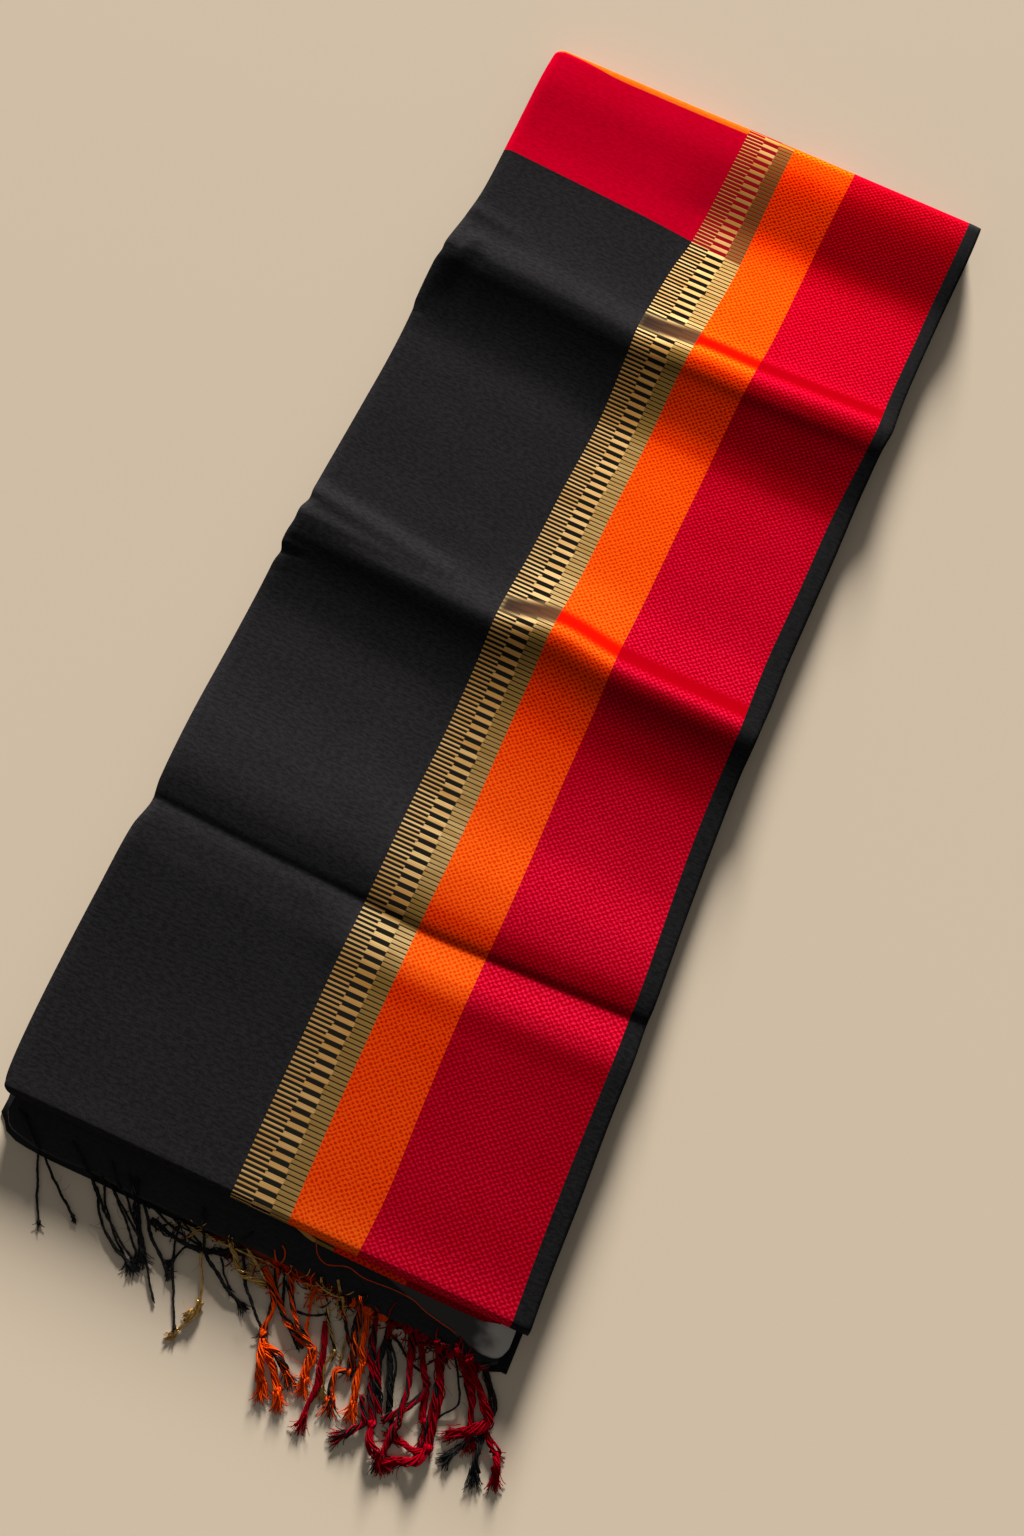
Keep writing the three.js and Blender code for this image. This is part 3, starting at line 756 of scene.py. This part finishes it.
def underside():
    start = along(NEAR_EDGES, 2, under_x(np.array([NEAR_EDGE]))[0])
    end = FAR_EDGE - FAR_ROLL["reach"]
    t = spaced([(0, 0), (0.06, 6), (1, 90)])[:, None]
    y = start * (1 - t) + end * t
    x = np.stack([under_x(y[:, k])[:, k] for k in range(len(UNDER_U))], -1)
    flat = np.stack([x, y, np.zeros_like(y)], -1)
    turn = (ROLL_STEPS * math.pi / 2)[:, None]
    lift = FOLD_HEIGHT * (1 - np.cos(turn))
    up = np.stack(np.broadcast_arrays(x[-1], end + FAR_ROLL["reach"] * np.sin(turn), lift), -1)
    turn_v = FAR_EDGE + END_CLOTH * 2
    v = np.concatenate([turn_v + end - y, turn_v - END_CLOTH * ROLL_STEPS[:, None] + 0 * x[:1]])
    u = np.repeat(UNDER_U[None], len(v), 0)
    return np.concatenate([flat, up]), np.stack([u, v], -1)


pallu = grid_piece("pallu_cloth", *underside(), FINISHES[:4] + [pallu_cloth])
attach(pallu, "root")
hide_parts("pallu_stretch")
print("pallu faces:", len(pallu.data.polygons))

# %% [markdown]
# ### The black stretch that sticks out
# Under the top group one stretch reaches further towards the fringe. All that shows of it is a soft
# black fold: two walls and a round nose. A second, thinner fold with the border's colours peeps out
# just under the top sheet's near edge, and a glossy corner of selvedge lies over the black one.

# %% Folds at the near end
def distances(path):
    """How far each point of a path lies from its first one, along it."""
    steps = np.linalg.norm(np.diff(path, axis=0), axis=-1)
    return np.concatenate([np.zeros_like(steps[:1]), np.cumsum(steps, 0)])


def fold_nose(name, xs, noses, low, high, back, finishes, selvedge):
    """A folded edge: two walls between low and high, and the round between them.
    Noses are the y of the foremost points, and selvedge is the x where the cloth begins."""
    radius = (high - low) / 2
    turns = np.linspace(-math.pi / 2, math.pi / 2, 13)
    rows = [np.stack([xs, np.full_like(xs, back), np.full_like(xs, low)], -1)]
    for turn in turns:
        y = noses + radius * (1 - math.cos(turn))
        rows.append(np.stack([xs, y, np.full_like(xs, low + radius * (1 + math.sin(turn)))], -1))
    for t in (0.12, 0.3, 0.6, 1.0):
        y = (noses + radius) * (1 - t) + back * t
        rows.append(np.stack([xs, y, np.full_like(xs, high)], -1))
    points = np.stack(rows)
    uv = np.stack(np.broadcast_arrays((selvedge - xs)[None], distances(points) - 300), -1)
    return grid_piece(name, points, uv, finishes)


inner_black = plain_cloth("inner_black", False, Specular_IOR_Level=0.16)
xs = np.linspace(-138.5, 137.0, 90)
sway = 0.5 * np.sin(xs / 17) + 0.35 * np.sin(xs / 7.3 + 1)
noses = along(NEAR_EDGES, 1, xs) + 0.5 + sway
middle = fold_nose("middle_cloth", xs, noses, 2.4, 6.4, -300, [inner_black], WIDTH / 2)
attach(middle, "root")
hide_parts("middle_stretch")

xs = np.linspace(19.0, 131.0, 60)
noses = -351.9 - 0.5 * np.sin((xs - 19) / 36) + 1.4 * ease((30 - xs) / 12) + 2.0 * ease((xs - 121) / 10)
second = fold_nose("second_fold", xs, noses, 6.8, 8.3, -338, FINISHES, 166)
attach(second, "root")
print("folds at the near end:", middle.name, second.name)

# %% [markdown]
# A corner of selvedge has slipped out from under the top sheet. It is silk with a hard gloss, so one wide
# highlight lies slanting over it. The highlight is drawn as a change of colour across the corner, because
# a reflection would leave it as soon as the view turns.

# %% Selvedge corner
# x, then the near edge and the curl of the corner over the fold below
CORNER = [(58, -349.0, 0.0), (91, -358.4, 0.1), (113, -363.6, 0.4), (126, -365.9, 0.8), (133, -365.6, 1.1),
          (137.2, -363.2, 1.3), (139.4, -358.5, 1.2)]


def glossy_finish():
    material, shader, u, v = finish("selvedge_gloss", Specular_IOR_Level=0.6)
    ribs = u.noise(v, 30.0, 0.9, 2.0, 4.0)
    sheen = (u + v * 0.4 + (u.noise(v, 14.0, 9.0, 2.0, 2.0) - 0.5) * 22.0).above(-16.0, 14.0)
    feed(shader, Base_Color=sheen.mix((0.035, 0.032, 0.030, 1), (0.42, 0.39, 0.36, 1)),
         Metallic=sheen * 0.2 + 0.6, Roughness=0.42 - ribs * 0.16)
    relief(shader, ribs, 0.04)
    return material


xs = spaced([(58, 0), (126, 24), (139.4, 14)])
CORNER_BACK = -336.0
t = np.linspace(0, 1, 18)[:, None]
y = along(CORNER, 1, xs) * (1 - t) + CORNER_BACK * t
lift = along(CORNER, 2, xs) * ease((-352.5 - y) / 9)
points = np.stack([xs + 0 * y, y, 6.95 - 0.3 * ease((y + 352) / 8) + lift], -1)
corner = grid_piece("selvedge_corner", points, points[..., :2], [glossy_finish()], 0.3)
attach(corner, "root")
print("selvedge corner faces:", len(corner.data.polygons))

# %% [markdown]
# ### The layers inside
# Between the outer plies lie six more stretches, each folded to four plies. Only their sides show: on
# the left each stretch ends in two nested folds, on the right in selvedges and one fold. Sheets would
# cost many faces that nobody sees, so each stretch is a slab swept along the packet, its section lipped
# on the left and stepped on the right.

# %% Sections of the layers
# Lower and upper side of the three lower slabs, and where the three upper ones begin
SLABS = [(2.3, 4.2), (4.35, 6.2), (6.35, 8.2)]
UPPER_FLOOR = 8.45
AIR = 0.3
CEILING_X = np.linspace(-152, 146, 60)
# Faces of a slab's left lips and underside, which come before its four right plies of four faces each
LEFT_FACES = 24


def ceilings(ys):
    """Highest level for what lies under the top sheet: a row for each y, over CEILING_X."""
    x, y = np.meshgrid(CEILING_X, ys)
    around = [top_level(x + dx, np.clip(y + dy, NEAR_EDGE, FAR_EDGE)) for dx in (-4, 4) for dy in (-3, 0, 3)]
    return np.min(around, axis=0) - PLY - AIR


def slab_section(k, y, near_end, over):
    """One slab's outline at a place along the packet: left lips, underside, right steps, upper side."""
    left, right = float(left_edge(y)), float(right_edge(y))

    def level(x, share):
        if k < 3:
            return SLABS[k][0] + share * (SLABS[k][1] - SLABS[k][0])
        step = (np.interp(x, CEILING_X, over) - 2.0 * near_end - UPPER_FLOOR) / 3
        return UPPER_FLOOR + step * (k - 3 + share) - 0.1 * share

    wander = 0.45 * math.sin(y / 23 + 2.1 * k) + 0.3 * math.sin(y / 9.1 + 4.0 * k)
    wander += 0.15 * math.sin(y / 4.3 + k)
    centre = np.interp(left + 8, CEILING_X, over) + PLY + AIR - LEFT_ROLL["round"]
    height = float(np.clip((level(left + 8, 1) - centre) / LEFT_ROLL["round"], 0, 0.98))
    tuck = LEFT_ROLL["reach"] * (1 - math.sqrt(1 - height**2)) + (0.6 if height > 0 else 0.75 + wander)
    x0 = left + 1.0 + tuck + near_end * 9
    ring = []
    for lobe in (1, 0.5):
        for turn in np.linspace(0.1, 0.9, 5) * math.pi:
            ring.append((x0 + 0.9 * (1 - math.sin(turn)), level(x0, lobe - 0.25 * (1 - math.cos(turn)))))
    inner = np.linspace(x0 + 8, right - 12, 14)
    ring += [(x, level(x, 0)) for x in inner]
    for ply in range(4):
        ragged = [0.2, 1.1, 0.5, 1.5][(ply + k) % 4] + 0.4 * math.sin(y / 31 + 1.7 * ply + k)
        x1 = right - 1.8 - near_end * 4 - ragged
        for dx, share in ((0.5, 0.02), (0, 0.06), (0, 0.19), (0.5, 0.23)):
            ring.append((x1 - dx, level(x1, ply / 4 + share)))
    return ring + [(x, level(x, 1)) for x in inner[::-1]]


print("points round one section:", len(slab_section(0, 0.0, 0.0, ceilings([0.0])[0])))

# %% Closed solids
def solid_piece(name, places, faces, uv, finishes, kinds):
    """A closed mesh, its places and cloth coordinates in metres; kinds says which finish each face has."""
    mesh = bpy.data.meshes.new(name)
    mesh.from_pydata(places.tolist(), [], faces)
    for item in finishes:
        mesh.materials.append(item)
    mesh.polygons.foreach_set("material_index", kinds)
    mesh.polygons.foreach_set("use_smooth", [len(face) == 4 for face in faces])
    mesh.uv_layers.new(name="cloth").data.foreach_set("uv", uv.ravel())
    piece = bpy.data.objects.new(name, mesh)
    bpy.context.scene.collection.objects.link(piece)
    select_only(piece)
    bpy.ops.object.mode_set(mode="EDIT")
    bpy.ops.mesh.select_all(action="SELECT")
    bpy.ops.mesh.normals_make_consistent(inside=False)
    bpy.ops.object.mode_set(mode="OBJECT")
    return piece


def swept(name, sections, ys, finishes, face_finish):
    """A closed solid through sections of equal length, one at each y."""
    count = len(sections[0])
    places = in_frame([(px, y, pz) for ring, y in zip(sections, ys) for px, pz in ring])
    corners = [(s * count, k, (k + 1) % count) for s in range(len(sections) - 1) for k in range(count)]
    faces = [(low + k, low + after, low + count + after, low + count + k) for low, k, after in corners]
    last = (len(sections) - 1) * count
    faces += [tuple(reversed(range(count))), tuple(range(last, last + count))]
    kinds = [face_finish(k) for _ in range(len(sections) - 1) for k in range(count)] + [0, 0]
    uv = places[[k for face in faces for k in face]][:, [2, 1]] * (4, 1)
    piece = solid_piece(name, places, faces, uv, finishes, kinds)
    bpy.ops.object.shade_smooth_by_angle(angle=math.radians(50))
    return piece


print("helpers for solids:", solid_piece.__name__, swept.__name__)

# %% Layers
def side_colour(part, k):
    """Finish of one strip of a slab: black folds on the left, selvedges and two red plies on the right."""
    ply = (part - LEFT_FACES) // 4
    if part < LEFT_FACES or ply > 3:
        return 0
    return 2 if ply == 1 and k in (1, 4) else 1


def layer_slabs():
    slabs = []
    for k in range(6):
        start = -346.0 if k > 2 else -297.0
        ys = spaced([(start, 0), (start + 6, 4), (-150, 54), (150, 90), (340, 60), (347.5, 5)])
        ends = ease((start + 6 - ys) / 6) * (k > 2) + ease((ys - 340) / 7.5)
        rows = zip(ys, ends, ceilings(ys))
        sections = [slab_section(k, float(y), float(end), over) for y, end, over in rows]
        finishes = [inner_black, selvedge_cloth, crimson_cloth]
        slabs.append(swept("slab_%d" % k, sections, ys, finishes, lambda part: side_colour(part, k)))
    select_only(*slabs)
    bpy.ops.object.join()
    slabs[0].name = "inner_layers"
    return slabs[0]


layers = layer_slabs()
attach(layers, "root")
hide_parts("folded_layers")
print("inner layers faces:", len(layers.data.polygons))

# %% [markdown]
# ### The fringe
# The warp threads left beyond the last weft are gathered in bunches, twisted and knotted. Each bunch
# takes the colour of its band: thin black strands under the body, gilt thread under the zari, thick
# two-coloured cords under orange and crimson, and a few black ones under the selvedge. A cord is made
# of plies wound round its route; it ends in a wrapped knot or a frayed brush.

# %% Thread finishes
def thread_finish(name, dark, bright, metallic, gloss, rough=0.44):
    material, shader, u, v = finish(name, Specular_IOR_Level=gloss, Metallic=metallic)
    fibres = u.noise(v, 0.25, 5.0, 1.0)
    feed(shader, Base_Color=fibres.above(0.5, 0.5).mix(dark, bright), Roughness=fibres * 0.2 + rough)
    relief(shader, fibres, 0.05)
    return material


# One letter for each thread: k black, g gold, o orange, r crimson
THREADS = "kgor"
thread_finishes = [
    thread_finish("black_thread", (0.004, 0.004, 0.004, 1), (0.024, 0.023, 0.023, 1), 0.0, 0.05),
    thread_finish("gold_thread", (0.16, 0.07, 0.012, 1), (0.95, 0.60, 0.18, 1), 0.95, 0.4, 0.22),
    thread_finish("orange_thread", (0.34, 0.010, 0.0, 1), (1.0, 0.11, 0.005, 1), 0.1, 0.0),
    thread_finish("crimson_thread", (0.05, 0.0, 0.001, 1), (0.46, 0.001, 0.012, 1), 0.1, 0.0),
]
print("threads:", [item.name for item in thread_finishes])

# %% [markdown]
# Every strand is a tube, rings of points round a path. A cord could be one thick tube with a twist in
# its finish, but loose silk has gaps, so it is a bundle of thin tubes wound round one route. Loose
# hairs, wrapped knots and the short threads that cling to the hem are made of the same tubes.

# %% Paths of threads
def headings(path):
    """Unit directions at each point of a path: along it, and level across it."""
    run = np.gradient(path, axis=0)
    run /= np.linalg.norm(run, axis=1)[:, None] + 1e-9
    side = np.cross(run, [0.0, 0.0, 1.0])
    return run, side / (np.linalg.norm(side, axis=1)[:, None] + 1e-9)


def walk(turn, step):
    """How far x and y come, going one step along each heading."""
    return np.cumsum(np.cos(turn)) * step, np.cumsum(np.sin(turn)) * step


def ground_level(x, y):
    """What a strand lies on: the black stretch near the packet, then the pallu's edge, then the floor."""
    nose, hem = [along(NEAR_EDGES, k, x) for k in (1, 2)]
    return 6.5 * ease((y - nose + 0.5) / 2.5) + 0.6 * ease((y - hem + 1) / 2)


print("ground under a strand near the packet in mm:", float(ground_level(0.0, -360.0)))

# %% Tubes and cords
class Strands:
    """Gathers tubes into one mesh: rings of points, faces, cloth coordinates and thread colours."""

    def __init__(self, seed):
        self.points, self.faces, self.uv, self.colours = [], [], [], []
        self.random = np.random.default_rng(seed)

    def tube(self, path, radius, colour, sides=6):
        """A closed tube along a path in packet millimetres; radius is one number or one for each point."""
        path = np.asarray(path, float)
        radius = np.broadcast_to(np.asarray(radius, float), len(path))
        run, side = headings(path)
        up = np.cross(side, run)
        turn = np.arange(sides) * math.tau / sides
        ring = side[:, None] * np.cos(turn)[None, :, None] + up[:, None] * np.sin(turn)[None, :, None]
        first = len(self.points)
        self.points += list((path[:, None] + ring * radius[:, None, None]).reshape(-1, 3))
        length = distances(path)
        for s in range(len(path) - 1):
            for k in range(sides):
                a, b = first + s * sides + k, first + s * sides + (k + 1) % sides
                self.faces.append((a, a + sides, b + sides, b))
                u, after = k * 0.35, (k + 1) * 0.35
                self.uv += [(u, length[s]), (u, length[s + 1]), (after, length[s + 1]), (after, length[s])]
                self.colours.append(THREADS.index(colour))
        last = first + (len(path) - 1) * sides
        for cap in (range(first, first + sides), range(last + sides - 1, last - 1, -1)):
            self.faces.append(tuple(cap))
            self.uv += [(0.0, 0.0)] * sides
            self.colours.append(THREADS.index(colour))

    def cord(self, look, radius, route, lift=0.0):
        """A loosely twisted bundle of fine plies along a route of x, y places, its colours mixed."""
        route = np.asarray(route, float)
        steps = distances(route)
        at = np.linspace(0, steps[-1], max(6, int(steps[-1] / 1.1)))
        x, y = [along(np.column_stack([steps, route]), k, at) for k in (1, 2)]
        phase = self.random.uniform(0, 6, 2)
        middle = np.sin(math.pi * at / at[-1])
        x = x + 0.4 * np.sin(at / 3.1 + phase[0]) * middle
        y = y + 0.3 * np.sin(at / 4.3 + phase[1]) * middle
        z = radius * 0.75 + 0.15 + lift * middle + ground_level(x, y)
        centre = np.stack([x, y, z], -1)
        _, side = headings(centre)
        count = max(3, round(2 + radius * 4.2))
        fine = radius * 0.5 if count < 5 else 0.34
        swell = 0.85 + 0.2 * np.sin(at / 6.5 + phase[0])
        for ply in range(count):
            colour = look[0] if self.random.random() < 0.62 else look[-1]
            reach = (radius - fine * 0.5) * math.sqrt(self.random.uniform(0.2, 1))
            turn = math.tau * (ply / count + at / (8 * radius + 4)) + self.random.uniform(0, 1)
            reach = reach * swell * (1 + 0.25 * np.sin(at / self.random.uniform(2, 4) + ply))
            path = centre + side * (np.cos(turn) * reach)[:, None]
            path[:, 2] = np.maximum(path[:, 2] + np.sin(turn) * reach * 0.75, fine + 0.05)
            self.tube(path, fine * self.random.uniform(0.8, 1.25), colour, 5)
        return centre

    def brush(self, centre, look, radius, length, hairs, spread):
        """Loose hairs fanning out of a cord's end."""
        end = centre[-1]
        run = end - centre[-4]
        heading = math.atan2(run[1], run[0])
        for hair in range(hairs):
            size = length * self.random.uniform(0.55, 1.15)
            t = np.linspace(0, 1, 7)
            turn = heading + self.random.normal(0, spread) * t**0.6 + self.random.normal(0, 0.3) * t**2
            step = size / 6
            offset = self.random.normal(0, radius * 0.4, 3)
            dx, dy = walk(turn, step)
            x = end[0] + offset[0] + dx - math.cos(heading) * (step + 1.0)
            y = end[1] + offset[1] + dy - math.sin(heading) * (step + 1.0)
            droop = end[2] * (1 - 0.7 * t) + self.random.uniform(-0.2, 0.9) * t
            z = np.maximum(0.25, droop + offset[2] * 0.6)
            colour = look[int(self.random.integers(len(look)))]
            self.tube(np.stack([x, y, z], -1), self.random.uniform(0.22, 0.36) * (1 - 0.5 * t), colour, 4)

    def wisps(self, centre, colour, count):
        """Fine curly hairs that have worked loose beside a cord."""
        for wisp in range(count):
            start = centre[int(self.random.integers(2, len(centre)))]
            heading = self.random.uniform(0, math.tau)
            t = np.linspace(0, 1, 9)
            turn = heading + self.random.normal(0, 1.6) * t
            dx, dy = walk(turn, self.random.uniform(0.5, 1.5))
            z = start[2] + self.random.uniform(-0.5, 2.0) * np.sin(math.pi * t)
            self.tube(np.stack([start[0] + dx, start[1] + dy, np.maximum(z, 0.15)], -1), 0.07, colour, 3)

    def knot(self, place, size, look):
        """A ball of thread wrapped five ways."""
        place = np.asarray(place, float)
        for wrap in range(5):
            tilt, swing = self.random.uniform(-0.5, 0.5), self.random.uniform(0, math.pi)
            t = np.linspace(0, math.tau * 1.1, 18)
            ring = np.stack([np.cos(t), np.sin(t) * math.cos(tilt), np.sin(t) * math.sin(tilt) * 0.8], -1)
            ring = ring * size * 0.62
            c, d = math.cos(swing), math.sin(swing)
            rx, ry, rz = ring.T
            turned = np.stack([rx * c - rz * d, ry, rx * d + rz * c], -1)
            self.tube(place + turned, size * 0.36, look[wrap % len(look)])

    def tangle(self, start, stop, count, look):
        """Short curved threads that cling to the hem between two x places."""
        for thread in range(count):
            x = self.random.uniform(start, stop)
            size = self.random.uniform(5, 13)
            heading = self.random.choice([0.0, math.pi, -math.pi / 2]) + self.random.normal(0, 0.5)
            t = np.linspace(0, 1, 9)
            turn = heading + self.random.normal(0, 1.4) * t
            dx, dy = walk(turn, size / 9)
            dy += along(NEAR_EDGES, 2, x + dx[0]) + self.random.uniform(-2.5, 2.5)
            low = ground_level(x + dx, dy) + 0.4
            path = np.stack([x + dx, dy, low + self.random.uniform(0, 2.2) * np.sin(math.pi * t)], -1)
            self.tube(path, self.random.uniform(0.22, 0.42), self.random.choice(list(look)), 5)

    def piece(self, name):
        return solid_piece(name, in_frame(self.points), self.faces, np.array(self.uv) * MM, thread_finishes,
                           self.colours)


print("strands can make:", [name for name in vars(Strands) if not name.startswith("_")])

# %% [markdown]
# ### Where the cords lie
# Each row below is a cord: the letters of its threads, its radius before the loose twist opens it, how
# it ends, and the places x,y it passes on its way out from the edge. A cord that ends in a fork runs
# into its neighbour. The places are written out because no rule tangles threads as hands and wear do.

# %% Cord routes
CORDS = {
    "body": """
k 0.55 knot -134,-354 -120,-364 -107,-388 -100,-399
k 0.55 knot -131,-355 -119,-364 -105,-376 -86,-390
k 0.7 fray -102,-357 -84,-371 -69,-389 -50,-399
k 0.6 fray -82,-373 -70,-383 -50,-396
k 0.5 fray -81,-367 -70,-383 -52,-398
k 0.5 knot -76,-369 -63,-379 -49,-393
k 0.5 fork -80,-358 -62,-375 -50,-385 -37,-402 -31,-409
k 0.5 fork -76,-369 -53,-384 -46,-391
k 0.9 fray -65,-360 -58,-375 -47,-391
k 0.7 fray -57,-370 -47,-381 -33,-393
k 0.6 fork -56,-369 -36,-375 -17,-378
k 0.9 fray -50,-376 -28,-379 -11,-376
k 0.55 knot -36,-370 -33,-384 -16,-416
k 0.5 fray -17,-378 -27,-380 -31,-388
k 0.5 fork -36,-370 -18,-378
k 0.8 fray -28,-359 -19,-377 -5,-387 7,-393
k 0.45 knot -10,-378 0,-389
k 0.5 fork 0,-360 -8,-374 -17,-379
""",
    "zari": """
g 0.35 fork -37,-370.9 -12,-371.4 14,-370.9
g 0.45 fork -24,-371.6 -6,-371.2 8,-372.2
r 0.22 fork -14,-371.9 6,-372.2 22,-371.9
g 0.7 fray -21,-374 -19,-381 -9,-402 -14,-417
g 1.1 fork -9,-400 -10,-405 -13,-410
g 0.9 fork -9,-369 2,-379 17,-381
g 0.7 fork 0,-369 12,-376 18,-381
k 0.7 knot -3,-369 11,-388 24,-400
""",
    "orange": """
og 0.5 fork 16,-371.6 33,-372.2 52,-371.6
g 0.4 fork 38,-369.6 45,-371.0 56,-370.6
ok 1.0 knot 12,-373 23,-384 25,-401
o 1.2 fray 26,-403 28,-409 34,-421
o 1.2 fray 27,-405 34,-410 43,-422
ok 1.1 fray 28,-405 36,-406 43,-412
ok 0.9 fork 18,-371 23,-382 42,-397 46,-399
ok 0.9 knot 26,-372 38,-390 51,-398
o 1.1 fray 50,-397 51,-404 53,-412
o 0.8 fork 39,-372 44,-391 49,-397
k 0.6 fork 23,-374 30,-388 44,-401
k 0.5 fork 35,-386 43,-384 50,-381
gk 0.8 knot 40,-365 45,-373 57,-389 61,-395
g 0.8 fray 61,-395 60,-403 63,-412
gk 0.7 fork 48,-363 62,-383 66,-398
ok 1.0 knot 62,-365 68,-384 72,-400
ok 1.1 fray 72,-400 66,-403 69,-415
o 1.0 knot 68,-369 72,-385 76,-394
o 1.1 fray 76,-394 78,-405 80,-413
""",
    "crimson": """
r 0.9 fray 51,-384 59,-407 60,-427
rk 0.7 fork 53,-373 65,-386 75,-399
rk 1.2 knot 73,-373 81,-394 92,-417
r 1.3 fray 92,-417 94,-423 101,-429
rk 1.1 fork 81,-371 84,-393 94,-411
k 0.9 fray 82,-378 89,-389 97,-407
rk 1.0 fray 82,-407 88,-418 82,-426
rk 1.1 fray 93,-372 102,-398 103,-428
r 0.9 knot 94,-369 109,-390 115,-406
rk 0.9 fork 110,-389 109,-397 96,-414
r 1.3 knot 105,-369 117,-391 122,-416
r 1.1 fray 122,-416 119,-423 112,-427
r 0.9 fray 121,-419 116,-420 108,-419
rk 0.9 fray 108,-369 115,-392 118,-415
k 0.5 fork 85,-377 100,-385 108,-387
k 0.5 fray 114,-369 127,-391 121,-402
r 1.3 fray 115,-368 131,-385 138,-402
r 1.3 fray 123,-370 140,-388 145,-394 134,-403
""",
    "selvedge": """
k 0.9 fray 131,-370 145,-389 134,-414
k 0.9 fray 144,-398 145,-412 147,-417
r 0.9 knot 145,-398 151,-404 154,-406
r 1.1 fray 154,-406 156,-410 157,-413
""",
}
# Wrapped knots along the hem: place and threads
HEM_KNOTS = {
    "orange": [(59, -370, "ok"), (68, -370, "o"), (76, -370, "o")],
    "crimson": [(90, -370, "r"), (99, -370, "rk"), (108, -372, "r"), (114, -372, "r"), (124, -369, "rk"),
                (131, -370, "r")],
}
# Short loose threads lying along the hem: from x to x, how many, and threads
HEM_TANGLE = {
    "body": [(-58, -20, 12, "k")],
    "zari": [(-30, 16, 34, "ggkr")],
    "orange": [(14, 40, 22, "ogk"), (38, 78, 60, "ooggkr")],
    "crimson": [(76, 132, 70, "rrk")],
}
# A loose orange thread that lies over the black fold: x, y, z
STRAY_THREAD = [(31, -351.5, 12), (34, -356, 11), (40, -358.5, 9.5), (50, -355.5, 9.5), (60, -357, 9.2),
                (75, -356, 9.3), (86, -356.5, 9.3), (96, -359.5, 8.6), (112, -362, 8.2)]
print("cords:", sum(rows.count("\n") - 1 for rows in CORDS.values()))

# %% Tassels
def tassels(name, seed):
    strands = Strands(seed)
    for number, row in enumerate(CORDS[name].split("\n")[1:-1]):
        look, radius, end, *places = row.split()
        route = [[float(value) for value in place.split(",")] for place in places]
        thick = float(radius) > 0.85
        radius = float(radius) * (1.9 if thick else 1.25)
        lift = [0.3, 1.6, 0.8, 2.2][number % 4]
        centre = strands.cord(look, radius, route, lift)
        for companion in range((2 if name != "body" else 1) * thick):
            aside = strands.random.normal(0, 1.5, (len(route), 2)) * np.array([1.0, 0.5])
            mixed = look[-1] + strands.random.choice(list("kk" + look))
            strands.cord(mixed, radius * 0.42, route + aside, lift + 0.8)
        if end == "knot":
            strands.knot(centre[-1], radius * 0.9 + 0.5, look)
        hairs = {"knot": (4.0 + radius, 14, 0.45), "fork": (3.0, 4, 0.3),
                 "fray": (6 + radius * 1.8, int(12 + radius * 24), 0.38)}
        strands.brush(centre, look, radius, *hairs[end])
        strands.wisps(centre, look[-1], 1 + number % 3)
    for x, y, look in HEM_KNOTS.get(name, []):
        strands.knot((x, y, 3.0), 3.3, look)
    for start, stop, count, look in HEM_TANGLE.get(name, []):
        strands.tangle(start, stop, count, look)
    if name == "orange":
        count = len(STRAY_THREAD)
        table, at = np.column_stack([np.arange(count), STRAY_THREAD]), np.linspace(0, count - 1, 70)
        strands.tube(np.stack([along(table, k, at) for k in (1, 2, 3)], -1), 0.22, "o", 5)
    made = strands.piece("tassels_" + name)
    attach(made, "root")
    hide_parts("fringe_" + name)
    return made


FRINGE_SLOTS = ("black_fringe", "gold_fringe", "orange_fringe", "crimson_fringe", "black_fringe")
fringe = [tassels(name, 20 + k) for k, name in enumerate(CORDS)]
for made, slot in zip(fringe, FRINGE_SLOTS):
    print(made.name, "faces:", len(made.data.polygons))

# %% [markdown]
